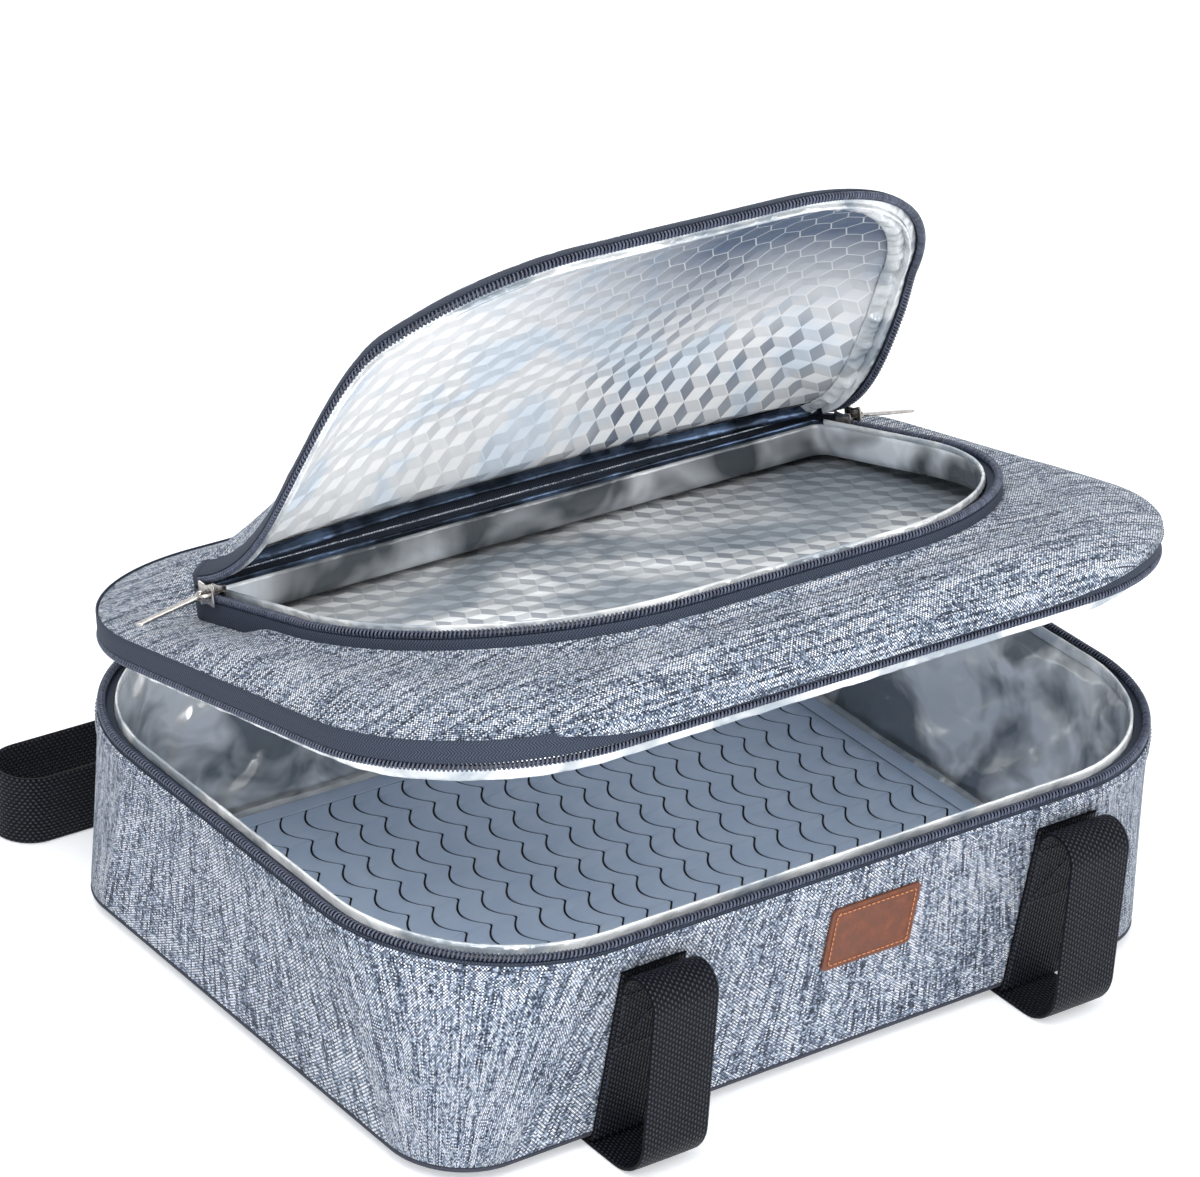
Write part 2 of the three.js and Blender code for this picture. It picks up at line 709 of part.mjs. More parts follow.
// Webbing strips sewn up the front face, under the tub and up the back face
function makeStrip(group, side, word) {
  const out = seatGap + stripThickness / 2;
  const under = -seatGap - stripThickness / 2;
  const lowest = stripThickness / 2 - baseRise;
  const stepStart = frontHandleReach - tubFaceY(0) + webbingWidth / 2 + stripStepMargin;
  const front = (height) => [-tubFaceY(height) - out, height];
  const back = (height) => [tubFaceY(height) + out, height];
  const points = [
    front(sewnTop + handleLap),
    [-tubFaceY(0) - out, under],
    [stepStart, under],
    [stepStart + stripStepLength, lowest],
    [tubFaceY(0) + out, lowest],
    back(sewnTop + handleLap),
  ];
  const across = new THREE.Vector3(1, 0, 0);
  const line = roundedLine(points, stripBend)
    .map(([y, z]) => pathPoint(side * webbingSpread, y, z, across));
  addMesh(group, `webbing_strip_${word}`, strap(line, webbingWidth, stripThickness), webbing);
}

// Where a handle leaves the top of its sewn strip and arches over, away from the wall
const archFoot = tubFaceY(sewnTop) + seatGap + stripThickness + handleLapGap + webbingThickness / 2;
const archMiddle = archFoot + archRadius;

function archPoints(facing, x, side) {
  const line = [];
  for (let step = 0; step <= archSteps; step++) {
    const angle = Math.PI * step / archSteps;
    const y = facing * (archMiddle - archRadius * Math.cos(angle));
    line.push(pathPoint(x, y, sewnTop + archRadius * Math.sin(angle), side));
  }
  return line;
}

function mirrored(line) {
  return line.map(({ point, side }) => (
    pathPoint(-point.x, point.y, point.z, new THREE.Vector3(-side.x, side.y, side.z)))).reverse();
}

// Front handle: down to the floor, in under the tub, across it in the grip and back out again
function makeFrontHandle(group) {
  const across = new THREE.Vector3(1, 0, 0);
  const x = -webbingSpread;
  const outerY = -archMiddle - archRadius;
  const floorZ = webbingThickness / 2 - baseRise;
  const gripZ = floorZ + gripPadding + seatGap;
  const farY = -tubFaceY(0) + frontHandleReach;
  const half = archPoints(-1, x, across);
  for (let step = 0; step <= bendSteps; step++) {
    const angle = (Math.PI / 2) * step / bendSteps;
    const y = outerY + floorBend * (1 - Math.cos(angle));
    half.push(pathPoint(x, y, floorZ + floorBend * (1 - Math.sin(angle)), across));
  }
  for (let step = 0; step <= bendSteps; step++) {
    const angle = (Math.PI / 2) * step / bendSteps;
    const turnX = x + handleTurnRadius * (1 - Math.cos(angle));
    const turnY = farY - handleTurnRadius * (1 - Math.sin(angle));
    half.push(pathPoint(turnX, turnY, floorZ, new THREE.Vector3(Math.cos(angle), -Math.sin(angle), 0)));
  }
  const gripSide = new THREE.Vector3(0, -1, 0);
  const rampEnd = -gripLength / 2 - gripMargin;
  half.push(pathPoint(rampEnd, farY, gripZ, gripSide));
  const line = [...half, ...mirrored(half)];
  addMesh(group, 'front_handle', strap(line, webbingWidth, webbingThickness), webbing);
  makeGrip(group, farY, gripZ);
}

// Padded grip wrapped round the middle of the front handle
function makeGrip(group, middleY, middleZ) {
  const section = (x, play) => [[-1, -1], [1, -1], [1, 1], [-1, 1]].map(([across, up]) => {
    const y = middleY + across * (webbingWidth / 2 + play);
    const z = middleZ + up * (webbingThickness / 2 + play);
    return new THREE.Vector3(x, y, z);
  });
  const outer = seatGap + gripPadding;
  const half = gripLength / 2;
  addMesh(group, 'handle_grip', sweep([
    section(-half, outer), section(half, outer), section(half, seatGap), section(-half, seatGap),
  ], true), heather);
}

// Back handle: down behind the tub, on edge along the floor to a loop past the left end, and back
function makeBackHandle(group) {
  const outerY = archMiddle + archRadius;
  const lowZ = webbingWidth / 2 + edgeClearance - baseRise;
  const farY = outerY + 2 * backLoopRadius;
  const loopX = backLoopRadius - backLoopEnd;
  const across = new THREE.Vector3(1, 0, 0);
  const upright = new THREE.Vector3(0, 0, -1);
  const line = archPoints(1, -webbingSpread, across);
  const drop = (facing, step) => {
    const angle = (Math.PI / 2) * step / bendSteps;
    const x = facing * (webbingSpread + (facing < 0 ? 1 : -1) * backDropRadius * (1 - Math.cos(angle)));
    const z = lowZ + backDropRadius * (1 - Math.sin(angle));
    return pathPoint(x, outerY, z, new THREE.Vector3(Math.cos(angle), 0, -Math.sin(angle)));
  };
  for (let step = 0; step <= bendSteps; step++) {
    line.push(drop(-1, step));
  }
  for (let step = 0; step <= 2 * bendSteps; step++) {
    const angle = Math.PI * step / (2 * bendSteps);
    const x = loopX - backLoopRadius * Math.sin(angle);
    line.push(pathPoint(x, outerY + backLoopRadius * (1 - Math.cos(angle)), lowZ, upright));
  }
  const swayStart = webbingSpread - backDropRadius - backSwayLength;
  for (let step = 0; step < bendSteps; step++) {
    const share = step / bendSteps;
    const x = swayStart + backSwayLength * share;
    const y = farY + (outerY - farY) * (1 - Math.cos(Math.PI * share)) / 2;
    line.push(pathPoint(x, y, lowZ, upright));
  }
  for (let step = bendSteps; step >= 0; step--) {
    line.push(drop(1, step));
  }
  line.push(...archPoints(1, webbingSpread, across).reverse());
  addMesh(group, 'back_handle', strap(line, webbingWidth, webbingThickness), webbing);
}

makeTub(carrier);
makePatch(carrier);
makeMat(carrier);
makeHingeStrip(carrier);
lidPivot.name = 'lid_axis';
flapPivot.name = 'flap_axis';
carrier.add(lidPivot);
makeLid(lid);
makeCollar(opening);
makeFlap(flap);
makeSliders();
const straps = new THREE.Group();
straps.position.x = webbingMiddleX;
carrier.add(straps);
for (const [end, word] of [[-1, 'front'], [1, 'back']]) {
  const swing = new THREE.Group();
  swing.name = `${word}_handle_axis`;
  swing.position.set(0, end * archMiddle, sewnTop);
  straps.add(swing);
}
for (const [side, word] of [[-1, 'left'], [1, 'right']]) {
  makeStrip(straps, side, word);
}
makeFrontHandle(straps);
makeBackHandle(straps);

export default carrier;
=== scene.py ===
import bpy
import bmesh
import math
import numpy as np
from mathutils import Matrix, Vector


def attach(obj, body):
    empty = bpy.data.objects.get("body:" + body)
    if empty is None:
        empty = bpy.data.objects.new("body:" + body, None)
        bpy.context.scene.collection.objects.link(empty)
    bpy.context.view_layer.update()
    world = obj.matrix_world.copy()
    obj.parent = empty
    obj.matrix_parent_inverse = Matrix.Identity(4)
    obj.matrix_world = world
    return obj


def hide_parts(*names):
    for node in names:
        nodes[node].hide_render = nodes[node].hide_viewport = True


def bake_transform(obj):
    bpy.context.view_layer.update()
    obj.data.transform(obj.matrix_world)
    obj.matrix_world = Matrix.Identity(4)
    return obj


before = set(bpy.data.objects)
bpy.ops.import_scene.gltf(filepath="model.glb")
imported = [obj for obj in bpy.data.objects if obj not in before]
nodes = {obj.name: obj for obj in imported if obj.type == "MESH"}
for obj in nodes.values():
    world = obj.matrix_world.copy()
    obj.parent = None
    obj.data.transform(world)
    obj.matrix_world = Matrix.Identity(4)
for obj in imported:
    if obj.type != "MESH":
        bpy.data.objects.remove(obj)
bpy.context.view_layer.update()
print("frame loaded,", len(nodes), "solids")

mm = 0.001
radians = math.radians

# sizes in millimetres, the same as in the solids
make = {"gap": 0.3, "cloth": 1.2, "foil": 0.6, "tape": 0.9, "webbing": 1.8, "strip": 1.6, "rise": 4.7, "liner": 6.8}
tub = {"width": 380.0, "depth": 279.0, "flare": 13.0, "height": 99.0, "baseRadius": 33.0,
       "rimRadius": 85.0, "piping": 2.2}
zipLine = {"proud": 0.3, "coil": 3.0, "split": 0.8, "tapeStart": 4.1, "tapeEnd": 13.1}
lid = {"angle": radians(11.5), "lift": 18.4, "axisY": 154.1, "hingeHalf": 84.0, "bulge": 5.5,
       "lipInset": 9.4, "lipHeight": 8.4, "lipDrop": 3.5}
opening = {"width": 333.6, "depth": 195.5, "front": 115.0, "back": 12.6, "line": 81.0, "height": 24.7,
           "tilt": radians(3.8), "zipEnd": 13.5}
flap = {"angle": radians(41.0), "gather": 6.5}


def tubShape(height):
    share = height / tub["height"]
    radius = tub["baseRadius"] + (tub["rimRadius"] - tub["baseRadius"]) * share
    return {"width": tub["width"] + 2 * tub["flare"] * share, "middle": 0.0,
            "depth": tub["depth"] + 2 * tub["flare"] * share, "front": radius, "back": radius}


rimShape = tubShape(tub["height"])
openingShape = dict(opening, middle=-opening["depth"] / 2)


def onRim(height):
    return rimShape


def onOpening(height):
    return openingShape


def turned(y, z, angle):
    return y * np.cos(angle) + z * np.sin(angle), -y * np.sin(angle) + z * np.cos(angle)


def inTub(points):
    return points + np.array([0, 0, make["rise"]])


def inLid(points):
    x, y, z = np.moveaxis(np.asarray(points, float), -1, 0)
    y, z = turned(y - lid["axisY"], z, lid["angle"])
    return np.stack([x, y + lid["axisY"], z + tub["height"] + lid["lift"] + make["rise"]], -1)


def openingInLid(points):
    x, y, z = np.moveaxis(np.asarray(points, float), -1, 0)
    y, z = turned(y, z, opening["tilt"])
    return np.stack([x, y + opening["line"], z + opening["height"]], -1)


def inOpening(points):
    return inLid(openingInLid(points))


# where each half of the flap is held down by its zip end, and the radius of its fold
flapHold = {-1: {"y": 34.2, "radius": 191.1}, 1: {"y": 7.9, "radius": 92.9}, "half": 168.0}


def foldLine(side):
    hold = flapHold[side]
    ratio = flapHold["half"] / hold["radius"]
    reach = flapHold["half"] / (1 + ratio * ratio)
    start = np.array([side * flapHold["half"], hold["y"], 0])
    return start, start + np.array([-side * reach, -reach * ratio, 0])


def inFlap(points):
    points = np.asarray(points, float)
    x, y, z = np.moveaxis(points, -1, 0)
    y = y - make["gap"]
    out = np.empty_like(points)
    for side in (-1, 1):
        start, end = foldLine(side)
        run = end - start
        here = (x >= 0) if side > 0 else (x < 0)
        lying = y + make["gap"]
        for turn in range(50):
            share = np.clip(((x - start[0]) * run[0] + (lying - start[1]) * run[1]) / (run @ run), 0, 1)
            angle = flap["angle"] * share * share * (3 - 2 * share)
            openY, openZ = turned(y, z, angle)
            lying = 0.5 * lying + 0.5 * (openY + make["gap"])
        out[here] = np.stack([x, openY + make["gap"], openZ], -1)[here]
    return inOpening(out)


zipBack = lid["hingeHalf"] + make["gap"]       # where the main zip stops, each side of the hinge
hingeEnd = opening["zipEnd"] - make["gap"]     # where the flap's hinge stops, behind the top zip's ends
cornerTurns = {"backLeft": (-1, 1, 90), "frontLeft": (-1, -1, 180), "frontRight": (1, -1, 270),
               "backRight": (1, 1, 0)}
wholeRun = {"corners": ["backLeft", "frontLeft", "frontRight", "backRight"], "closed": True}
mainRun = {"corners": wholeRun["corners"], "closed": False,
           "ends": lambda half, back: ((-zipBack, back), (zipBack, back))}
hingeRun = {"corners": [], "closed": False,
            "ends": lambda half, back: ((lid["hingeHalf"], back), (-lid["hingeHalf"], back))}
topRun = {"corners": ["frontLeft", "frontRight"], "closed": False,
          "ends": lambda half, back: ((-half, -opening["zipEnd"]), (half, -opening["zipEnd"]))}
topHingeRun = {"corners": ["backRight", "backLeft"], "closed": False,
               "ends": lambda half, back: ((half, -hingeEnd), (-half, -hingeEnd))}


def outline(shape, inset, run=wholeRun, arc=14, straight=24):
    halfWidth = shape["width"] / 2 - inset
    halfDepth = shape["depth"] / 2 - inset
    blocks = []
    for name in run["corners"]:
        side, end, first = cornerTurns[name]
        radius = max((shape["back"] if end > 0 else shape["front"]) - inset, 1)
        angle = np.radians(first + np.linspace(0, 90, arc + 1))
        blocks.append(np.stack([side * (halfWidth - radius) + radius * np.cos(angle),
                                shape["middle"] + end * (halfDepth - radius) + radius * np.sin(angle)], -1))
    if "ends" in run:
        first, last = run["ends"](halfWidth, shape["middle"] + halfDepth)
        blocks = [np.array([first], float)] + blocks + [np.array([last], float)]
    line = []
    for index, block in enumerate(blocks):
        line.append(block)
        last = index == len(blocks) - 1
        if not last or run["closed"]:
            after = blocks[0] if last else blocks[index + 1]
            share = np.linspace(0, 1, straight + 1)[1:-1, None]
            line.append(block[-1] * (1 - share) + after[0] * share)
    return np.concatenate(line)


def lengthAlong(points, closed=False):
    ahead = np.roll(points, -1, 0) if closed else points[1:]
    step = np.linalg.norm(ahead - (points if closed else points[:-1]), axis=-1)
    return np.concatenate([[0], np.cumsum(step)])


def outward(points, closed):
    if closed:
        way = np.roll(points, -1, 0) - np.roll(points, 1, 0)
    else:
        way = np.gradient(points, axis=0)
    way = unit(way[:, :2])
    return np.stack([way[:, 1], -way[:, 0]], -1)


# points at an even pitch along a line, and the distance of each from its start
def evenly(points, pitch):
    length = lengthAlong(points)
    count = max(int(round(length[-1] / pitch)), 2)
    at = np.linspace(0, length[-1], count + 1)
    return np.stack([np.interp(at, length, points[:, k]) for k in range(points.shape[1])], -1), at


# smooth noise between about -1 and 1
def ripple(u, v, seed=0):
    iu, iv = np.floor(u), np.floor(v)
    fu, fv = u - iu, v - iv

    def corner(du, dv):
        mix = np.sin((iu + du) * 127.1 + (iv + dv) * 311.7 + seed * 74.7) * 43758.5453
        angle = 2 * np.pi * (mix - np.floor(mix))
        return np.cos(angle) * (fu - du) + np.sin(angle) * (fv - dv)

    su, sv = fu * fu * (3 - 2 * fu), fv * fv * (3 - 2 * fv)
    low = corner(0, 0) * (1 - su) + corner(1, 0) * su
    high = corner(0, 1) * (1 - su) + corner(1, 1) * su
    return 1.6 * (low * (1 - sv) + high * sv)


# creased noise: flat facets that meet in sharp folds
def crumple(u, v, seed=0):
    bent = u + 0.35 * ripple(u * 0.7, v * 0.7, seed + 9)
    total = 1 - np.abs(ripple(bent, v, seed)) * 1.6
    total = total + 0.5 * (1 - np.abs(ripple(bent * 2.1 + 5, v * 2.1, seed + 1)) * 1.6)
    return total + 0.25 * (1 - np.abs(ripple(bent * 4.3, v * 4.3 + 3, seed + 2)) * 1.6) - 1.0


# quads over a grid of points. closed says which of its two directions runs round
def skin(grid, closed=(False, False), uv=None):
    rows, columns = grid.shape[:2]
    spanRows, spanColumns = rows if closed[0] else rows - 1, columns if closed[1] else columns - 1
    row, column = np.meshgrid(np.arange(spanRows), np.arange(spanColumns), indexing="ij")
    row, column = row.ravel(), column.ravel()
    after, beside = (row + 1) % rows, (column + 1) % columns
    quads = np.stack([row * columns + column, row * columns + beside,
                      after * columns + beside, after * columns + column], -1)
    if uv is None:
        middleRow = grid[:, columns // 2]
        middleColumn = grid[rows // 2]
        u = lengthAlong(middleColumn, closed[1])
        v = lengthAlong(middleRow, closed[0])
        u, v = np.append(u, u[-1])[:columns + 1], np.append(v, v[-1])[:rows + 1]
        uv = np.stack(np.broadcast_arrays(u[None, :], v[:, None]), -1)
    elif uv.shape[0] < rows + 1 or uv.shape[1] < columns + 1:
        uv = np.pad(uv, ((0, rows + 1 - uv.shape[0]), (0, columns + 1 - uv.shape[1]), (0, 0)), mode="edge")
    quadUv = np.stack([uv[row, column], uv[row, column + 1], uv[row + 1, column + 1], uv[row + 1, column]], 1)
    return {"points": grid.reshape(-1, 3), "quads": quads, "quadUv": quadUv}


def unit(ways):
    return ways / np.linalg.norm(ways, axis=-1, keepdims=True)


# an outline as points at one height
def raised(flat, height):
    return np.column_stack([flat, np.full(len(flat), height)])


# closes a ring of a part's points with a fan round a new middle point
def capEnd(part, indices):
    points = part["points"]
    middle = len(points)
    part["points"] = np.concatenate([points, points[indices].mean(0, keepdims=True)])
    around = np.roll(indices, -1)
    fan = np.stack([indices, around, np.full(len(indices), middle)], -1)
    fanUv = np.zeros((len(fan), 3, 2))
    fanUv[:, 0, 0] = fanUv[:, 1, 0] = 1
    part["tris"] = np.concatenate([part["tris"], fan]) if "tris" in part else fan
    part["triUv"] = np.concatenate([part["triUv"], fanUv]) if "triUv" in part else fanUv
    return part


def capColumns(part, rows, columns):
    for column in (0, columns - 1):
        capEnd(part, np.arange(rows) * columns + column)
    return part


def capRows(part, rows, sides):
    for row in (0, rows - 1):
        capEnd(part, np.arange(sides) + row * sides)
    return part


# a band along an outline, all round or over one run of it; its section is a list of inset and height
def band(shapeAt, section, run=wholeRun, place=inTub, arc=14, straight=24, push=None):
    section = np.asarray(section, float)
    grid = []
    along = lengthAlong(outline(rimShape if shapeAt is not onOpening else openingShape, 0, run, arc, straight),
                        run["closed"])
    for inset, height in section:
        flat = outline(shapeAt(height), inset, run, arc, straight)
        if push is not None:
            flat = flat + push(along[:len(flat)], inset, height)[:, None] * outward(flat, run["closed"])
        grid.append(raised(flat, height))
    grid = np.array(grid)
    v = lengthAlong(section, True)
    uv = np.stack(np.broadcast_arrays(np.append(along, along[-1])[None, :grid.shape[1] + 1], v[:, None]), -1)
    part = skin(place(grid), (True, run["closed"]), uv)
    return part if run["closed"] else capColumns(part, *grid.shape[:2])


# section of a strip of tape or cloth, its corners eased
def roundedBox(nearInset, farInset, low, high, corner=0.25, rows=1):
    c = min(corner, (farInset - nearInset) / 2.2, (high - low) / 2.2)
    up = np.linspace(low + c, high - c, rows + 1)
    near = [(nearInset, z) for z in up]
    far = [(farInset, z) for z in up[::-1]]
    return [(nearInset + c, low)] + near + [(nearInset + c, high), (farInset - c, high)] + far + [(farInset - c, low)]


# section of the zip tape where it stands upright in a wall
def tapeBox(low, high):
    return roundedBox(0, make["tape"], low, high, rows=4)


# section of a tape that follows a path of insets and heights, as thick on both sides
def pathSection(path, thickness):
    path = np.array(path, float)
    way = unit(np.gradient(path, axis=0))
    side = np.stack([way[:, 1], -way[:, 0]], -1) * thickness / 2
    return np.concatenate([path + side, path[::-1] - side[::-1]])


def roundSection(inset, height, radius, sides=8):
    return [(inset + radius * math.cos(a), height + radius * math.sin(a))
            for a in np.linspace(0, 2 * math.pi, sides, endpoint=False)]


def gridNormals(grid, closedColumns=False):
    down = np.gradient(grid, axis=0)
    if closedColumns:
        across = np.roll(grid, -1, 1) - np.roll(grid, 1, 1)
    else:
        across = np.gradient(grid, axis=1)
    normal = np.cross(down, across)
    size = np.linalg.norm(normal, axis=-1, keepdims=True)
    return normal / np.maximum(size, 1e-9)


# a sheet of even thickness under a grid of points; closed where its columns run round
def slab(top, thickness, closed=False, uv=None, normal=None):
    rows, columns = top.shape[:2]
    if normal is None:
        normal = gridNormals(top, closed)
    bottom = top - normal * thickness
    loop = np.concatenate([top, bottom[::-1]])
    if uv is None:
        u = lengthAlong(top[rows // 2], closed)
        v = lengthAlong(top[:, columns // 2])
        uv = np.stack(np.broadcast_arrays(u[None, :], v[:, None]), -1)
    if uv.shape[1] < columns + 1:
        uv = np.concatenate([uv, uv[:, -1:]], 1)
    part = skin(loop, (True, closed), np.concatenate([uv, uv[::-1], uv[:1]]))
    if not closed:
        for column in (0, columns - 1):
            edge = np.arange(rows - 1)
            quads = np.stack([edge * columns + column, (edge + 1) * columns + column,
                              (2 * rows - 2 - edge) * columns + column, (2 * rows - 1 - edge) * columns + column], -1)
            part["quads"] = np.concatenate([part["quads"], quads])
            part["quadUv"] = np.concatenate([part["quadUv"], np.zeros((rows - 1, 4, 2))
                                             + uv[:rows - 1, min(column, columns - 1)][:, None, :]])
    return part


# a grid of points that fills an outline: rows from its back edge to its front edge
def fillGrid(shape, inset, pitch, height=0.0):
    halfWidth = shape["width"] / 2 - inset
    halfDepth = shape["depth"] / 2 - inset
    back, front = max(shape["back"] - inset, 1), max(shape["front"] - inset, 1)
    rows = []
    for radius, end in ((back, 1), (front, -1)):
        angle = np.linspace(0, math.pi / 2, max(int(radius / pitch * 1.5), 3) + 1)
        y = shape["middle"] + end * (halfDepth - radius + radius * np.cos(angle))
        half = halfWidth - radius + radius * np.sin(angle)
        rows.append(np.stack([y, half], -1) if end > 0 else np.stack([y, half], -1)[::-1])
    top, bottom = rows[0][-1, 0], rows[1][0, 0]
    between = np.linspace(top, bottom, max(int((top - bottom) / pitch), 1) + 1)[1:-1]
    rows = np.concatenate([rows[0], np.stack([between, np.full(len(between), halfWidth)], -1), rows[1]])
    count = 2 * int(halfWidth / pitch)
    share = np.linspace(-1, 1, count + 1)
    x = rows[:, 1:] * share[None, :]
    y = np.broadcast_to(rows[:, :1], x.shape)
    return np.stack([x, y, np.full_like(x, height)], -1)


def gatherArrays(parts):
    points, loops, uvs, sizes, offset = [], [], [], [], 0
    for part in parts:
        points.append(part["points"])
        for faces, faceUv in (("quads", "quadUv"), ("tris", "triUv")):
            if faces in part and len(part[faces]):
                loops.append((part[faces] + offset).ravel())
                uvs.append(part[faceUv].reshape(-1, 2))
                sizes.append(np.full(len(part[faces]), part[faces].shape[1]))
        offset += len(part["points"])
    return {"points": np.concatenate(points) * mm, "loops": np.concatenate(loops),
            "uvs": np.concatenate(uvs) * mm, "sizes": np.concatenate(sizes)}


def meshFrom(name, arrays):
    mesh = bpy.data.meshes.new(name)
    mesh.vertices.add(len(arrays["points"]))
    mesh.vertices.foreach_set("co", arrays["points"].astype(np.float32).ravel())
    mesh.loops.add(len(arrays["loops"]))
    mesh.loops.foreach_set("vertex_index", arrays["loops"].astype(np.int32))
    mesh.polygons.add(len(arrays["sizes"]))
    starts = np.concatenate([[0], np.cumsum(arrays["sizes"])[:-1]])
    mesh.polygons.foreach_set("loop_start", starts.astype(np.int32))
    mesh.polygons.foreach_set("use_smooth", np.ones(len(starts), bool))
    layer = mesh.uv_layers.new(name="cloth")
    layer.data.foreach_set("uv", arrays["uvs"].astype(np.float32).ravel())
    mesh.update(calc_edges=True)
    mesh.validate()
    return mesh


def facedOut(mesh, sharp):
    work = bmesh.new()
    work.from_mesh(mesh)
    bmesh.ops.remove_doubles(work, verts=work.verts, dist=1e-6)
    bmesh.ops.recalc_face_normals(work, faces=work.faces)
    work.to_mesh(mesh)
    work.free()
    mesh.polygons.foreach_set("use_smooth", np.ones(len(mesh.polygons), bool))
    mesh.set_sharp_from_angle(angle=radians(sharp))
    return mesh


def addObject(name, mesh, finish):
    piece = bpy.data.objects.new(name, mesh)
    bpy.context.scene.collection.objects.link(piece)
    piece.data.materials.append(finish)
    return piece


def addPiece(name, parts, finish, body, stands=(), sharp=45):
    piece = addObject(name, facedOut(meshFrom(name, gatherArrays(parts)), sharp), finish)
    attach(piece, body)
    return settle(piece, stands)


def settle(piece, stands):
    if stands:
        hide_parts(*stands)
    return piece


def readAll(rows, value, width, kind=np.float32):
    values = np.zeros(len(rows) * width, kind)
    rows.foreach_get(value, values)
    return values.reshape(-1, width)


# a piece of the flap, in two halves that bend from their own zip ends
def addFlapPiece(name, parts, finish, stands=(), sharp=45):
    for part in parts:
        part["points"] = inFlap(part["points"])
    whole = facedOut(meshFrom(name, gatherArrays(parts)), sharp)
    points, centres = readAll(whole.vertices, "co", 3), readAll(whole.polygons, "center", 3)
    loops = readAll(whole.loops, "vertex_index", 1, np.int32).ravel()
    sizes = readAll(whole.polygons, "loop_total", 1, np.int32).ravel()
    uvs, normals = readAll(whole.uv_layers["cloth"].data, "uv", 2), readAll(whole.corner_normals, "vector", 3)
    right = centres[:, 0] >= 0
    pieces = []
    for side, word, chosen in ((-1, "Left", ~right), (1, "Right", right)):
        corner = np.repeat(chosen, sizes)
        used, renumbered = np.unique(loops[corner], return_inverse=True)
        half = meshFrom(name + word, {"points": points[used], "loops": renumbered, "uvs": uvs[corner],
                                      "sizes": sizes[chosen]})
        half.set_sharp_from_angle(angle=radians(sharp))
        half.normals_split_custom_set(normals[corner].tolist())
        piece = addObject(name + word, half, finish)
        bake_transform(piece)
        pieces.append(settle(piece, stands))
    bpy.data.meshes.remove(whole)
    return pieces


coilSize = {"pitch": 1.75, "radius": 1.35, "wire": 0.52, "sides": 5, "core": 0.95, "coreShift": 100.0}


# a zip coil: a flattened helix of filament, and the cord inside it
def coilPart(shapeAt, run, height, place):
    pitch, radius, wire = coilSize["pitch"], coilSize["radius"], coilSize["wire"]
    inset = zipLine["coil"] / 2 - zipLine["proud"]
    flat, at = evenly(outline(shapeAt(height), inset, run, 40, 60), pitch / 8)
    out = outward(flat, False)
    turn = 2 * math.pi * at / pitch
    centre = place(np.column_stack([flat + out * (radius * np.cos(turn))[:, None], height + radius * np.sin(turn)]))
    way = unit(np.gradient(centre, axis=0))
    first = centre - place(raised(flat, height))
    first = unit(first - (first * way).sum(-1, keepdims=True) * way)
    second = np.cross(way, first)
    angles = np.linspace(0, 2 * math.pi, coilSize["sides"], endpoint=False)
    grid = np.stack([centre + wire * (math.cos(a) * first + math.sin(a) * second) for a in angles])
    part = skin(grid, (True, False), np.stack(np.broadcast_arrays(at[None, :], angles[:, None]), -1))
    core = band(shapeAt, roundSection(inset, height, coilSize["core"], 6), run, place)
    for layout in ("quadUv", "triUv"):          # moved off, where the finish tells the cord from the filament
        core[layout] = core[layout] + np.array([0, coilSize["coreShift"]])
    return [capColumns(part, *grid.shape[:2]), core]


# a row of stitches on a line of points, each a small rounded thread
def stitchParts(line, normals, pitch=3.2, length=2.3, width=0.5, height=0.3):
    points, at = evenly(line, pitch)
    up = np.stack([np.interp(at, lengthAlong(line), normals[:, k]) for k in range(3)], -1)
    way = unit(np.gradient(points, axis=0))
    side = unit(np.cross(way, up))
    stations = ((-1, 0.25, -0.3), (-0.62, 0.85, 0.7), (0, 1, 1), (0.62, 0.85, 0.7), (1, 0.25, -0.3))
    parts = []
    rings = []
    for along, share, lift in stations:
        base = points + way * (along * length / 2) + up * (lift * height * 0.4)
        ring = [base + side * (width / 2 * share * math.cos(a)) + up * (height * share * math.sin(a))
                for a in np.linspace(0, 2 * math.pi, 6, endpoint=False)]
        rings.append(np.stack(ring, 1))
    rings = np.stack(rings, 1)                          # stitches, stations, sides, 3
    for one in rings:
        parts.append(capRows(skin(one, (False, True), np.zeros((6, 7, 2))), 5, 6))
    return parts


def ringStitches(shapeAt, inset, height, place, **sizes):
    flat = outline(shapeAt(height), inset, wholeRun, 20, 40)
    flat = np.concatenate([flat, flat[:1]])
    base = place(raised(flat, height))
    return stitchParts(base, unit(place(raised(flat + outward(flat, False), height)) - base), **sizes)


# a webbing strap along a line, its edges rounded and its middle a little raised
def strapPart(line, sides, thickness):
    line, sides = np.asarray(line, float), np.asarray(sides, float)
    way = unit(np.gradient(line, axis=0))
    sides = unit(sides - (sides * way).sum(-1, keepdims=True) * way)
    face = np.cross(way, sides)
    across = np.array([-1, -0.985, -0.94, -0.6, -0.2, 0.2, 0.6, 0.94, 0.985, 1])
    depth = np.array([0.25, 0.62, 0.9, 1, 1, 1, 1, 0.9, 0.62, 0.25])
    section = [(a, d) for a, d in zip(across, depth)] + [(a, -d) for a, d in zip(across[::-1], depth[::-1])]
    width = strapLook["width"]
    grid = np.stack([line + sides * (a * width / 2) + face * (d * thickness / 2) for a, d in section])
    v = np.array([a * width / 2 for a, d in section] + [-width / 2])
    v[len(across):] += width * 1.5
    u = lengthAlong(line)
    part = skin(grid, (True, False), np.stack(np.broadcast_arrays(u[None, :], v[:, None]), -1))
    return capColumns(part, *grid.shape[:2])


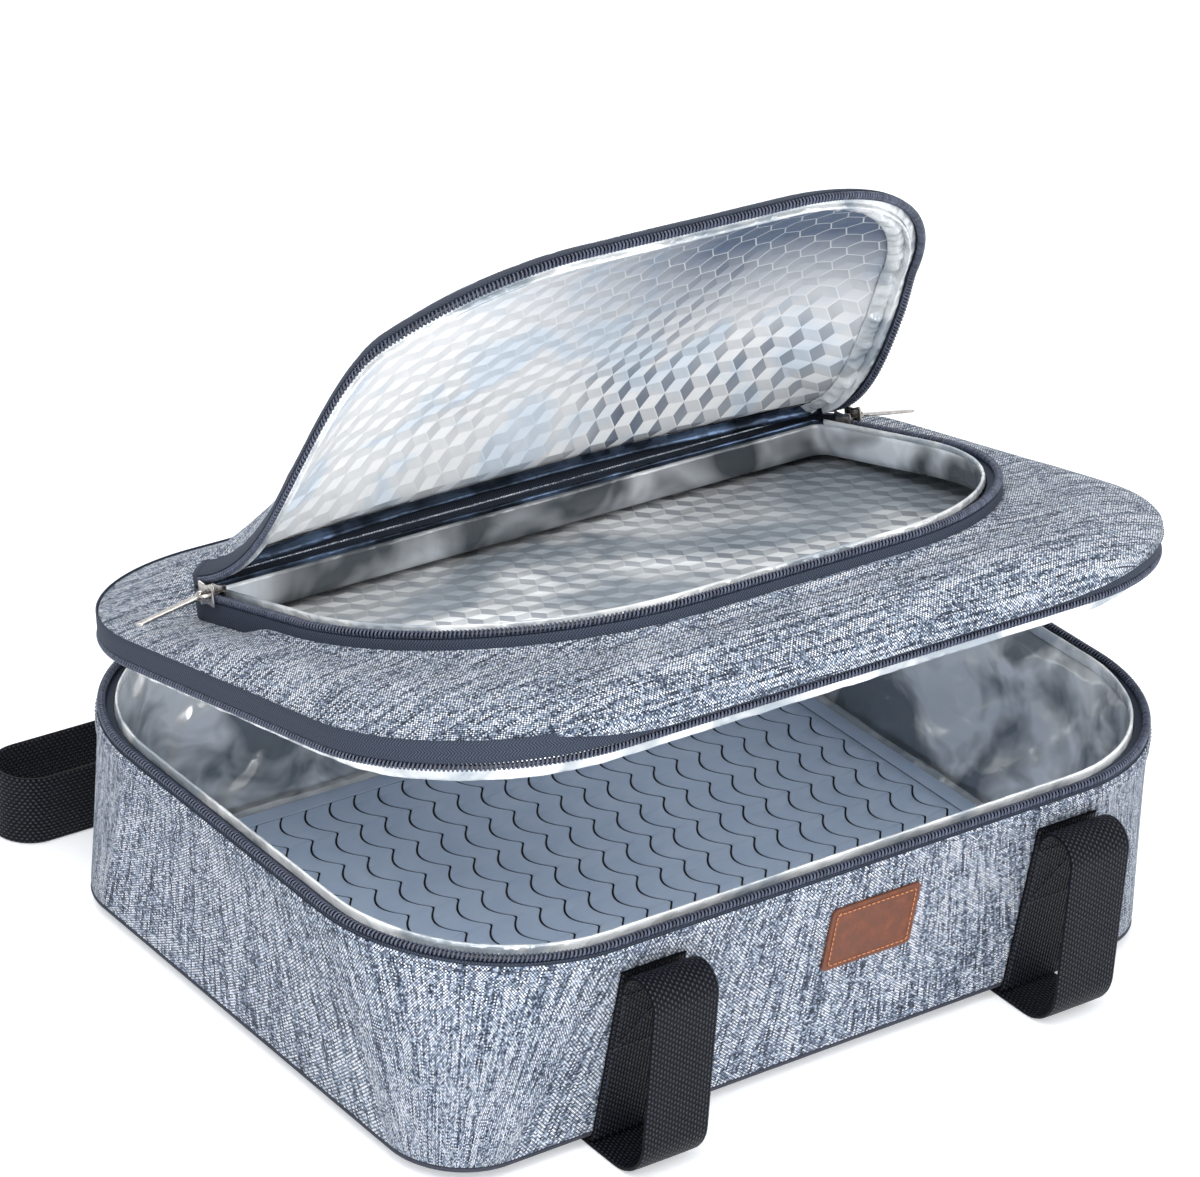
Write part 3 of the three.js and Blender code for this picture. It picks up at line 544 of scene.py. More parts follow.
def bentLine(points, bend, steps=8):
    line = [np.array(points[0], float)]
    for before, corner, after in zip(points, points[1:], points[2:]):
        before, corner, after = (np.array(p, float) for p in (before, corner, after))
        reach = min(bend, np.linalg.norm(before - corner) / 2, np.linalg.norm(after - corner) / 2)
        start = corner + (before - corner) / np.linalg.norm(before - corner) * reach
        end = corner + (after - corner) / np.linalg.norm(after - corner) * reach
        for share in np.linspace(0, 1, steps + 1):
            line.append((1 - share) ** 2 * start + 2 * share * (1 - share) * corner + share ** 2 * end)
    line.append(np.array(points[-1], float))
    return np.array(line)


def addNode(tree, kind, inputs=None, **settings):
    node = tree.nodes.new("ShaderNode" + kind)
    for key, value in settings.items():
        setattr(node, key, value)
    for key, value in (inputs or {}).items():
        if isinstance(value, bpy.types.NodeSocket):
            tree.links.new(value, node.inputs[key])
        else:
            node.inputs[key].default_value = value
    return node


def apart(tree, at):
    return addNode(tree, "SeparateXYZ", {0: at}).outputs


def mixed(tree, share, first, second):
    return addNode(tree, "Mix", {0: share, 2: first, 3: second}, data_type="FLOAT").outputs[0]


def mixedColour(tree, share, first, second):
    return addNode(tree, "Mix", {0: share, 6: first, 7: second}, data_type="RGBA").outputs[2]


def mapped(tree, value, start, end, low=0.0):
    return addNode(tree, "MapRange", {0: value, 1: start, 2: end, 3: low, 4: 1.0}).outputs[0]


def scaled(tree, colour, share):
    return addNode(tree, "VectorMath", {0: colour, 3: share}, operation="SCALE").outputs[0]


# 1 where the backdrop is looked at, straight or by way of gloss or glass
def backdropRays(tree):
    path = addNode(tree, "LightPath").outputs
    return calc(tree, "MAXIMUM", path["Is Camera Ray"],
                calc(tree, "MAXIMUM", path["Is Glossy Ray"], path["Is Transmission Ray"]))


def calc(tree, operation, first, second=0.0, third=0.0):
    return addNode(tree, "Math", {0: first, 1: second, 2: third}, operation=operation).outputs[0]


# a colour as it is picked in a picture, as the shader wants it
def linear(colour):
    shares = [c / 255 for c in colour]
    return tuple(c / 12.92 if c <= 0.04045 else ((c + 0.055) / 1.055) ** 2.4 for c in shares) + (1,)


def newFinish(name, space="cloth"):
    material = bpy.data.materials.new(name)
    material.use_nodes = True
    tree = material.node_tree
    tree.nodes.clear()
    shader = addNode(tree, "BsdfPrincipled")
    addNode(tree, "OutputMaterial", {"Surface": shader.outputs[0]})
    if space == "cloth":
        at = addNode(tree, "UVMap", uv_map="cloth").outputs[0]
    else:
        at = addNode(tree, "TexCoord").outputs["Object"]
    return material, tree, shader, at


def noise(tree, at, scale, detail=2.0, roughness=0.5, distortion=0.0, stretch=(1, 1, 1)):
    moved = addNode(tree, "Mapping", {"Vector": at, "Scale": stretch}).outputs[0]
    return addNode(tree, "TexNoise", {"Vector": moved, "Scale": scale, "Detail": detail,
                                      "Roughness": roughness, "Distortion": distortion}).outputs[0]


def ramp(tree, value, stops):
    node = addNode(tree, "ValToRGB", {0: value})
    element = node.color_ramp.elements
    while len(element) < len(stops):
        element.new(0.5)
    for spot, (position, colour) in zip(element, stops):
        spot.position = position
        spot.color = linear(colour) if len(colour) == 3 else colour
    return node.outputs[0]


def bump(tree, shader, height, strength, distance, before=None):
    inputs = {"Strength": strength, "Distance": distance, "Height": height}
    if before is not None:
        inputs["Normal"] = before
    normal = addNode(tree, "Bump", inputs).outputs[0]
    tree.links.new(normal, shader.inputs["Normal"])
    return normal


heatherLook = {"pitch": 0.0007, "dark": (11, 17, 28), "shade": (54, 65, 84), "middle": (112, 125, 145),
               "light": (182, 195, 213), "bright": (246, 249, 255), "slub": 34.0, "roughness": 0.92,
               "weft": -0.055, "warp": 0.055, "speck": 0.2}


# plain weave of heathered yarns. The slubs run up the cloth, or along it where turned
def heatherFinish(name, turned=False, look=heatherLook):
    material, tree, shader, at = newFinish(name)
    parts = apart(tree, at)
    across, along = (parts[1], parts[0]) if turned else (parts[0], parts[1])
    u = calc(tree, "DIVIDE", across, look["pitch"])
    v = calc(tree, "DIVIDE", along, look["pitch"])
    iu, iv = calc(tree, "FLOOR", u), calc(tree, "FLOOR", v)

    def yarn(number, way, seed, slub):
        spot = addNode(tree, "CombineXYZ", {0: calc(tree, "MULTIPLY", number, 3.73),
                                            1: calc(tree, "MULTIPLY", way, slub), 2: seed}).outputs[0]
        fine = addNode(tree, "TexNoise", {"Vector": spot, "Scale": 1.0, "Detail": 3.0, "Roughness": 0.62}).outputs[0]
        wide = addNode(tree, "CombineXYZ", {0: calc(tree, "MULTIPLY", number, 0.31),
                                            1: calc(tree, "MULTIPLY", way, slub * 0.55), 2: seed + 4}).outputs[0]
        broad = addNode(tree, "TexNoise", {"Vector": wide, "Scale": 1.0, "Detail": 2.0}).outputs[0]
        return calc(tree, "ADD", calc(tree, "MULTIPLY", fine, 0.72), calc(tree, "MULTIPLY", broad, 0.28))

    warp = yarn(iu, along, 1.0, look["slub"])
    weft = calc(tree, "MULTIPLY_ADD", yarn(iv, across, 7.0, look["slub"] * 6.0), 0.55, 0.205)
    over = calc(tree, "PINGPONG", calc(tree, "ADD", iu, iv), 1.0)
    tone = mixed(tree, over, calc(tree, "ADD", weft, look["weft"]), calc(tree, "ADD", warp, look["warp"]))
    cell = addNode(tree, "CombineXYZ", {0: iu, 1: iv}).outputs[0]
    speck = addNode(tree, "TexWhiteNoise", {0: cell}).outputs[0]
    tone = calc(tree, "ADD", tone, calc(tree, "MULTIPLY_ADD", speck, look["speck"], -look["speck"] / 2))
    profileU = calc(tree, "ABSOLUTE", calc(tree, "SINE", calc(tree, "MULTIPLY", u, math.pi)))
    profileV = calc(tree, "ABSOLUTE", calc(tree, "SINE", calc(tree, "MULTIPLY", v, math.pi)))
    crossing = mixed(tree, over, profileV, profileU)
    hair = noise(tree, at, 2600, 2, 0.7)
    colour = ramp(tree, tone, [(0.36, look["dark"]), (0.44, look["shade"]), (0.5, look["middle"]),
                               (0.57, look["light"]), (0.64, look["bright"])])
    # darker where the yarns dip at each crossing: painted shade between the yarns; the hair noise is the yarns' own
    # uneven tone
    shade = calc(tree, "MULTIPLY_ADD", crossing, 0.45, 0.62)
    shade = calc(tree, "MULTIPLY", shade, calc(tree, "MULTIPLY_ADD", hair, 0.5, 0.76))
    tree.links.new(scaled(tree, colour, shade), shader.inputs["Base Color"])
    shader.inputs["Roughness"].default_value = look["roughness"]
    shader.inputs["Sheen Weight"].default_value = 0.12
    shader.inputs["Sheen Roughness"].default_value = 0.5
    shader.inputs["Specular IOR Level"].default_value = 0.25
    height = calc(tree, "ADD", crossing, calc(tree, "MULTIPLY", hair, 0.5))
    bump(tree, shader, height, 0.7, 0.00018)
    return material


tapeLook = {"colour": (27, 33, 45), "light": (68, 77, 95), "pitch": 0.0013}


# herringbone zip tape
def tapeFinish(name, look=tapeLook):
    material, tree, shader, at = newFinish(name)
    parts = apart(tree, at)
    fold = calc(tree, "PINGPONG", parts[1], 0.0022)
    slant = calc(tree, "ADD", parts[0], fold)
    rib = calc(tree, "ABSOLUTE", calc(tree, "SINE", calc(tree, "MULTIPLY", slant, math.pi / look["pitch"])))
    grain = noise(tree, at, 1700, 3, 0.7)
    value = calc(tree, "MULTIPLY_ADD", rib, 0.55, calc(tree, "MULTIPLY", grain, 0.6))
    # the ribs are painted darker in the grooves between them and paler on their crests: painted shade and painted
    # light of the herringbone's relief
    tree.links.new(ramp(tree, value, [(0.15, [c * 0.55 for c in look["colour"]]), (0.5, look["colour"]),
                                      (0.95, look["light"])]),
                   shader.inputs["Base Color"])
    shader.inputs["Roughness"].default_value = 0.8
    shader.inputs["Specular IOR Level"].default_value = 0.3
    bump(tree, shader, value, 0.6, 0.00024)
    return material


coilLook = {"gap": (7, 8, 12), "filament": (46, 52, 68), "light": (84, 91, 112), "core": 0.05}


# the cord inside the filament, which lies past "core" in the layout, is painted near black ("gap"): painted shade in
# the gaps between the loops, against the paler filament
def coilFinish(name, look=coilLook):
    material, tree, shader, at = newFinish(name)
    inside = calc(tree, "GREATER_THAN", apart(tree, at)[1], look["core"])
    mottle = noise(tree, at, 900, 2)
    shown = ramp(tree, mottle, [(0.3, look["filament"]), (0.7, look["light"])])
    # the cord takes the near black "gap" colour, painted shade between the loops
    tree.links.new(mixedColour(tree, inside, shown, linear(look["gap"])), shader.inputs["Base Color"])
    shader.inputs["Roughness"].default_value = 0.26
    bump(tree, shader, mottle, 0.08, 0.0001)
    return material


# shade sets how dark the painted shade patches in the foil's colour go; the last colour is the painted shade of
# pressed foil
foilLook = {"colour": (252, 254, 255), "shade": 0.56, "metal": 0.3, "patch": 24.0, "roughness": 0.15, "creases": 38.0,
            "strength": 0.4, "fine": 0.05, "cubes": 0.0, "dullColour": (84, 98, 120)}
# how bright each of the three rhombi is painted, as a cube's lit and shaded faces, and how wide the painted highlight
# lines between them are
cubeLook = {"size": 0.013, "depth": 0.0013, "sides": (0.1, 1.0, 0.8), "line": 0.04}


# pressed cubes: hexagons of three rhombi; gives their height, a painted shade for each rhombus by the way it faces,
# and painted highlight lines between them
def pressedCubes(tree, at, look=cubeLook):
    parts = apart(tree, at)
    y, x = (calc(tree, "DIVIDE", part, look["size"]) for part in parts[:2])
    tall = math.sqrt(3)

    def wrapped(value, shift, period):
        value = calc(tree, "ADD", value, -shift)
        turns = calc(tree, "ROUND", calc(tree, "DIVIDE", value, period))
        return calc(tree, "SUBTRACT", value, calc(tree, "MULTIPLY", turns, period))

    def away(p, q):
        return calc(tree, "MULTIPLY_ADD", p, p, calc(tree, "MULTIPLY", q, q))

    ax, ay = wrapped(x, 0.0, 1.0), wrapped(y, 0.0, tall)
    bx, by = wrapped(x, 0.5, 1.0), wrapped(y, tall / 2, tall)
    near = calc(tree, "LESS_THAN", away(ax, ay), away(bx, by))
    qx, qy = mixed(tree, near, bx, ax), mixed(tree, near, by, ay)
    half = calc(tree, "MULTIPLY", qy, -0.5)
    ways = [qy, calc(tree, "MULTIPLY_ADD", qx, -tall / 2, half), calc(tree, "MULTIPLY_ADD", qx, tall / 2, half)]
    highest = calc(tree, "MAXIMUM", ways[0], calc(tree, "MAXIMUM", ways[1], ways[2]))
    lowest = calc(tree, "MINIMUM", ways[0], calc(tree, "MINIMUM", ways[1], ways[2]))
    second = calc(tree, "GREATER_THAN", ways[1], calc(tree, "MAXIMUM", ways[0], ways[2]))
    third = calc(tree, "GREATER_THAN", ways[2], calc(tree, "MAXIMUM", ways[0], ways[1]))
    # painted light and shade: each rhombus its own brightness, the lines between them bright
    bright = calc(tree, "MULTIPLY_ADD", second, look["sides"][1] - look["sides"][0], look["sides"][0])
    bright = calc(tree, "MULTIPLY_ADD", third, look["sides"][2] - look["sides"][0], bright)
    spoke = calc(tree, "LESS_THAN", calc(tree, "MULTIPLY_ADD", highest, 2.0, lowest), look["line"])
    return calc(tree, "MULTIPLY", highest, -1.6), calc(tree, "MAXIMUM", bright, spoke), spoke


# bright film on cloth, slack and creased, or pressed with cubes
def foilFinish(name, look=foilLook, **changes):
    look = dict(look, **changes)
    material, tree, shader, at = newFinish(name)
    shape = addNode(tree, "TexCoord").outputs["Object"]
    waver = scaled(tree, addNode(tree, "TexNoise", {"Vector": shape, "Scale": 30.0}).outputs["Color"], 0.012)
    bent = addNode(tree, "VectorMath", {0: shape, 1: waver}, operation="ADD").outputs[0]
    sharp = addNode(tree, "TexVoronoi", {"Vector": bent, "Scale": look["creases"], "Randomness": 1.0},
                    feature="F1", distance="MANHATTAN").outputs["Distance"]
    warped = noise(tree, shape, look["creases"] * 1.1, 2, 0.5, 0.8)
    fine = noise(tree, shape, 700, 3, 0.6)
    # the foil's colour is painted in soft pale and bluish grey patches over its folds: painted reflections and
    # painted shade
    tint = noise(tree, bent, look["patch"], 3, 0.55, 0.6)
    low = [c * look["shade"] * cool for c, cool in zip(look["colour"], (0.94, 0.98, 1.02))]
    middle = [c * (0.55 + 0.45 * look["shade"]) for c in look["colour"]]
    colour = ramp(tree, tint, [(0.4, low), (0.5, middle), (0.6, look["colour"])])
    height = calc(tree, "MULTIPLY_ADD", sharp, 0.6, warped)
    if look["cubes"]:
        pressed, bright, spoke = pressedCubes(tree, at)
        patchy = ramp(tree, noise(tree, shape, 9, 2, 0.5, 0.5), [(0.38, (0.2, 0.2, 0.2, 1)), (0.6, (1, 1, 1, 1))])
        patchy = calc(tree, "MULTIPLY", patchy, look["cubes"])
        dark = calc(tree, "SUBTRACT", 1.0, bright)
        if "pressedFrom" in look:
            # painted shade of the rhombi, strongest at one end and fading to the other, and a painted shade darkening
            # towards that end's rim
            along = apart(tree, at)
            end = mapped(tree, along[0], look["pressedFrom"], look["pressedTo"], 0.05)
            rim = mapped(tree, along[1], look["shadeFrom"], look["shadeTo"])
            lit = calc(tree, "MULTIPLY_ADD", spoke, -0.5, look["dull"])
            side = mapped(tree, along[0], look["dullFrom"], look["dullTo"])
            dull = calc(tree, "MULTIPLY", calc(tree, "MULTIPLY", side, rim), lit)
            dark = calc(tree, "MAXIMUM", dull, calc(tree, "MULTIPLY", dark, calc(tree, "MULTIPLY", patchy, end)))
        else:
            dark = calc(tree, "MULTIPLY", dark, patchy)
        # the colour turns towards the painted shade colour wherever painted shade falls
        colour = mixedColour(tree, dark, colour, linear(look["dullColour"]))
        tree.links.new(calc(tree, "MULTIPLY_ADD", dark, -0.5, 0.5), shader.inputs["Specular IOR Level"])
    tree.links.new(colour, shader.inputs["Base Color"])
    tree.links.new(calc(tree, "MULTIPLY_ADD", fine, 0.12, look["roughness"] - 0.06), shader.inputs["Roughness"])
    shader.inputs["Metallic"].default_value = look["metal"]
    normal = bump(tree, shader, height, look["strength"], 0.004)
    if look["cubes"]:
        normal = bump(tree, shader, pressed, 1.0, cubeLook["depth"], normal)
    bump(tree, shader, fine, look["fine"], 0.0003, normal)
    return material


webbingLook = {"dark": (0, 0, 2), "colour": (5, 6, 10), "light": (74, 79, 98), "across": 0.0016, "along": 0.0023}


# basket weave of thick shiny yarns, each row shifted by half a yarn
def webbingFinish(name, look=webbingLook):
    material, tree, shader, at = newFinish(name)
    parts = apart(tree, at)
    v = calc(tree, "DIVIDE", parts[1], look["across"])
    lane = calc(tree, "FLOOR", v)
    u = calc(tree, "ADD", calc(tree, "DIVIDE", parts[0], look["along"]), calc(tree, "MULTIPLY", lane, 0.5))
    wave = calc(tree, "SINE", calc(tree, "MULTIPLY", calc(tree, "FRACT", u), math.pi))
    lanes = calc(tree, "SINE", calc(tree, "MULTIPLY", calc(tree, "FRACT", v), math.pi))
    yarn = calc(tree, "MULTIPLY", calc(tree, "POWER", wave, 0.6), calc(tree, "POWER", lanes, 0.7))
    hair = noise(tree, at, 3000, 2, 0.7, stretch=(0.35, 1, 1))
    # each yarn is painted pale on its crest and near black in its dips: painted highlight and painted shade of the
    # weave
    tree.links.new(ramp(tree, calc(tree, "MULTIPLY_ADD", hair, 0.35, calc(tree, "MULTIPLY", yarn, 0.75)),
                        [(0.3, look["dark"]), (0.74, look["colour"]), (1.0, look["light"])]),
                   shader.inputs["Base Color"])
    shader.inputs["Roughness"].default_value = 0.45
    shader.inputs["Specular IOR Level"].default_value = 0.12
    bump(tree, shader, calc(tree, "MULTIPLY_ADD", hair, 0.12, yarn), 0.9, 0.0006)
    return material


# the mat's colour is written paler than the real mid blue-grey mat, as painted light against the lid's shade over it;
# its grooves are painted near black as painted shade
siliconeLook = {"colour": (188, 208, 236), "groove": (16, 22, 34), "lip": (214, 229, 249)}


def siliconeFinish(name, top, look=siliconeLook):
    material, tree, shader, at = newFinish(name, "object")
    height = apart(tree, at)[2]
    # below the top face, in the grooves, the colour turns near black: painted shade
    depth = calc(tree, "DIVIDE", calc(tree, "SUBTRACT", height, top - 0.0008), 0.0006)
    mottle = noise(tree, at, 60, 3)
    value = calc(tree, "MULTIPLY_ADD", mottle, 0.16, calc(tree, "MINIMUM", calc(tree, "MAXIMUM", depth, 0.0), 1.0))
    tree.links.new(ramp(tree, calc(tree, "MULTIPLY", value, 0.86),
                        [(0.0, look["groove"]), (0.45, look["groove"]), (0.86, look["colour"]), (1.0, look["lip"])]),
                   shader.inputs["Base Color"])
    grain = noise(tree, at, 900, 3, 0.6)
    tree.links.new(calc(tree, "MULTIPLY_ADD", grain, 0.12, 0.5), shader.inputs["Roughness"])
    shader.inputs["Specular IOR Level"].default_value = 0.4
    bump(tree, shader, grain, 0.25, 0.0002)
    return material


leatherLook = {"colour": (102, 53, 29), "dark": (78, 39, 21), "light": (130, 73, 43)}


def leatherFinish(name, look=leatherLook):
    material, tree, shader, at = newFinish(name)
    cells = addNode(tree, "TexVoronoi", {"Vector": at, "Scale": 1500.0},
                    feature="DISTANCE_TO_EDGE").outputs["Distance"]
    patch = noise(tree, at, 160, 4, 0.6)
    fine = noise(tree, at, 1300, 3, 0.6)
    value = calc(tree, "MULTIPLY_ADD", fine, 0.25, calc(tree, "MULTIPLY", patch, 0.75))
    tree.links.new(ramp(tree, value, [(0.3, look["dark"]), (0.52, look["colour"]), (0.75, look["light"])]),
                   shader.inputs["Base Color"])
    tree.links.new(calc(tree, "MULTIPLY_ADD", patch, 0.25, 0.4), shader.inputs["Roughness"])
    grain = calc(tree, "MINIMUM", calc(tree, "MULTIPLY", cells, 6.0), 1.0)
    bump(tree, shader, calc(tree, "MULTIPLY_ADD", patch, 0.4, grain), 0.35, 0.0003)
    return material


# foam, board, piping, thread and metal: mottled colour with a fine uneven surface
def plainFinish(name, dark, light, roughness, scale, metallic=0.0, strength=0.2, depth=0.0002, space="object"):
    material, tree, shader, at = newFinish(name, space)
    mottle = noise(tree, at, scale, 3, 0.6)
    tree.links.new(ramp(tree, mottle, [(0.3, dark), (0.7, light)]), shader.inputs["Base Color"])
    tree.links.new(calc(tree, "MULTIPLY_ADD", mottle, 0.2, roughness - 0.1), shader.inputs["Roughness"])
    shader.inputs["Metallic"].default_value = metallic
    bump(tree, shader, mottle, strength, depth)
    return material


heather = heatherFinish("heatherCloth")
heatherAcross = heatherFinish("heatherClothAcross", True)
zipTape = tapeFinish("zipTape")
webbing = webbingFinish("webbing")
foil = foilFinish("foilWall")
# the panel's foil is a white film with no metal, its white a painted reflection of bright surroundings, with painted
# shade towards one end and its rim; the floor's foil carries painted shade on its pressed cubes
foilPanel = foilFinish("foilPanel", colour=(255, 255, 255), shade=0.97, metal=0.0, strength=0.03, roughness=0.3,
                       creases=30.0, cubes=1.0, pressedFrom=-0.09, pressedTo=0.05, dullFrom=-0.08, dullTo=0.05,
                       shadeFrom=-0.055, shadeTo=-0.14, dull=0.97)
foilFloor = foilFinish("foilFloor", colour=(253, 255, 255), shade=0.66, metal=0.08, patch=9.0, strength=0.05,
                       roughness=0.24, creases=30.0, cubes=0.6)
foilEdge = foilFinish("foilEdge", colour=(250, 253, 255), shade=0.72, metal=0.2, strength=0.22, roughness=0.16,
                      creases=150.0)
# a darker copy of the foil for surfaces in shade: its darker, larger patches are painted shade
foilSide = foilFinish("foilSide", colour=(246, 250, 255), shade=0.34, metal=0.2, patch=14.0, strength=0.2,
                      roughness=0.2, creases=60.0)
# a dark bluish copy of the foil for the bindings by the hinge: painted shade
foilDeep = foilFinish("foilDeep", colour=(78, 94, 118), shade=0.35, metal=0.9, strength=0.2, roughness=0.22,
                      creases=60.0)
leather = leatherFinish("leather")
coilBlack = coilFinish("coilFilament")
piping = plainFinish("pipingCloth", (30, 32, 42), (58, 62, 76), 0.8, 1600, strength=0.5, space="cloth")
thread = plainFinish("threadGrey", (50, 54, 66), (92, 98, 114), 0.7, 2500, strength=0.4)
threadDark = plainFinish("threadDark", (24, 25, 32), (60, 62, 74), 0.6, 2500, strength=0.4)
threadBrown = plainFinish("threadBrown", (176, 108, 66), (212, 146, 100), 0.6, 2500, strength=0.4)
foamFinish = plainFinish("foam", (205, 205, 198), (228, 228, 222), 0.95, 800, strength=0.6, depth=0.0005)
boardFinish = plainFinish("board", (120, 122, 126), (160, 162, 165), 0.85, 240, strength=0.3)
gunmetal = plainFinish("gunmetal", (150, 147, 144), (186, 182, 178), 0.24, 500, 1.0, 0.08)
print("finishes made")


tubLook = {"hem": 8.0, "wave": 0.7, "crumple": 3.4, "foldPitch": 66.0}


# the soft wall hollows a little and unevenly between its seams
def tubWave(along, inset, height):
    rise = np.clip((height - 4) / 30, 0, 1) * np.clip((84 - height) / 25, 0, 1)
    soft = ripple(along / 95.0, np.full_like(along, height / 60.0), 3) * 0.6
    soft = soft + ripple(along / 34.0, height / 45.0 + along * 0, 4) * 0.4
    return -tubLook["wave"] * rise * (0.5 + 0.5 * soft)


# foil is slack, and stands off the foam in folds
def tubCrumple(along, inset, height):
    rise = np.clip((height - 5.2) / 8, 0, 1) * np.clip((93.2 - height) / 5, 0, 1)
    fold = crumple(along / tubLook["foldPitch"] + height / 130, height / (tubLook["foldPitch"] * 1.3) + along * 0, 11)
    return tubWave(along, inset, height) - tubLook["crumple"] * rise * np.clip(fold + 0.55, 0, 2)


def wallSection(near, far, low, high, rows):
    up = np.linspace(low, high, rows + 1)
    c = min(0.35, (far - near) / 3)
    return [(near + c, low)] + [(near, z) for z in up[1:-1]] + [(near + c, high), (far - c, high)] \
        + [(far, z) for z in up[::-1][1:-1]] + [(far - c, low)]


def makeTub():
    height, gap = tub["height"], make["gap"]
    tapeTop = height - zipLine["tapeStart"]
    tapeLow = height - zipLine["tapeEnd"]
    top = tapeLow - gap
    wall = wallSection(0, make["cloth"], 2.5, top, 26)
    hem = [(-0.05, top - 1.5), (-0.75, top), (-0.95, top + 1.2), (-0.9, top + tubLook["hem"]),
           (-0.55, top + tubLook["hem"] + 0.3), (-0.15, top + tubLook["hem"]), (-0.1, top + 0.6)]
    # the wall's upper hem laps over the zip tape
    turn = [index for index, spot in enumerate(wall) if spot[1] >= top - 0.01]
    wall = wall[:turn[0] - 1] + hem + wall[turn[-1]:]
    addPiece("tubWallCloth", [band(tubShape, wall, push=tubWave, arc=24, straight=36)],
             heather, "tub", ["tub_wall_fabric"], 60)
    addPiece("tubHemStitches", ringStitches(tubShape, -0.95, top + tubLook["hem"] - 1.8, inTub, width=0.45), thread,
             "tub", (), 80)
    half = tub["piping"] / 2
    addPiece("tubPiping", [band(tubShape, roundSection(half, half, half, 10), arc=24)], piping, "tub",
             ["tub_base_piping"], 80)
    base = fillGrid(tubShape(1.5), 2.5, 12.0, 1.5)
    base[..., 2] += 0.1 * ripple(base[..., 0] / 30, base[..., 1] / 30, 6)
    addPiece("tubBaseCloth", [slab(inTub(base), 1.1)], heather, "tub", ["tub_base_fabric"])
    section = wallSection(make["cloth"] + gap, make["liner"] - gap, 2.6, height - 5.2, 12)
    foamWall = addPiece("tubWallFoam", [band(tubShape, section, push=tubWave, arc=16)], foamFinish, "tub",
                        ["tub_wall_foam"], 60)
    section = wallSection(make["liner"], make["liner"] + 0.5, 5.3, 93.0, 56)
    wall = band(tubShape, section, push=tubCrumple, arc=64, straight=90)
    floor = fillGrid(tubShape(5.4), 7.0, 5.0, 5.6)
    floor[..., 2] += 0.12 * crumple(floor[..., 0] / 16, floor[..., 1] / 16, 5)
    addPiece("tubFoilLining", [wall, slab(inTub(floor), 0.4)], foil, "tub", ["tub_liner"], 180)
    seam = [(7.4, 5.9), (7.4, 8.6), (8.2, 9.1), (9.2, 8.4), (10.2, 7.4), (11.2, 6.6), (11.6, 6.1), (11.3, 5.8)]

    def gathered(along, inset, height):
        return (0.5 * ripple(along / 5, height / 2 + along * 0, 14)
                + 0.5 * ripple(along / 17, height / 5 + along * 0, 15)) \
            * np.clip((inset - 7.5) / 2, 0, 1)

    addPiece("tubFoilSeam", [band(tubShape, seam, push=gathered, arc=60, straight=110)], foilEdge, "tub", (),
             180)
    lip = [(6.8, 93.4), (6.85, 98.0), (7.2, 98.6), (7.8, 98.7), (8.3, 98.3), (8.4, 97.0), (8.2, 93.9), (7.6, 93.3)]

    def uneven(along, inset, height):
        return 0.18 * ripple(along / 7, inset * 0.6 + along * 0, 8) * (0.4 + inset / 14)

    addPiece("tubFoilBinding", [band(tubShape, lip, push=uneven, arc=48, straight=110)], foilEdge, "tub",
             ["tub_liner_binding"], 70)
    addPiece("tubRimTape", [band(tubShape, roundedBox(1.5, 6.5, tapeTop - 0.8, tapeTop))], zipTape, "tub",
             ["tub_rim_tape"])
    addPiece("tubZipTape", [band(tubShape, tapeBox(tapeLow, tapeTop), mainRun, arc=24)], zipTape, "tub",
             ["tub_zip_tape"])
    addPiece("tubZipCoil", coilPart(tubShape, mainRun, height - zipLine["split"] - 1.5, inTub), coilBlack, "tub",
             ["tub_zip_coil"], 80)
    addPiece("tubHingeCloth", [band(tubShape, tapeBox(tapeLow, height - 0.8), hingeRun, straight=60)],
             heather, "tub", ["tub_hinge_band"])


strapLook = {"spread": 107.0, "middle": 6.0, "width": 32.0, "sewnTop": 74.0, "lap": 8.0, "lapGap": 0.6,
             "boxHalf": 13.0, "boxLow": 44.0, "boxHigh": 70.0, "edgeRow": 14.2, "archRadius": 10.0, "floorBend": 17.0,
             "turnRadius": 30.0, "frontReach": 141.0, "grip": 112.0, "backDrop": 27.0, "backEnd": 198.0,
             "backLoop": 16.0, "backSway": 170.0}


def faceY(height):
    return tubShape(height)["depth"] / 2


archFoot = faceY(strapLook["sewnTop"]) + make["gap"] + make["strip"] + strapLook["lapGap"] + make["webbing"] / 2
archMiddle = archFoot + strapLook["archRadius"]


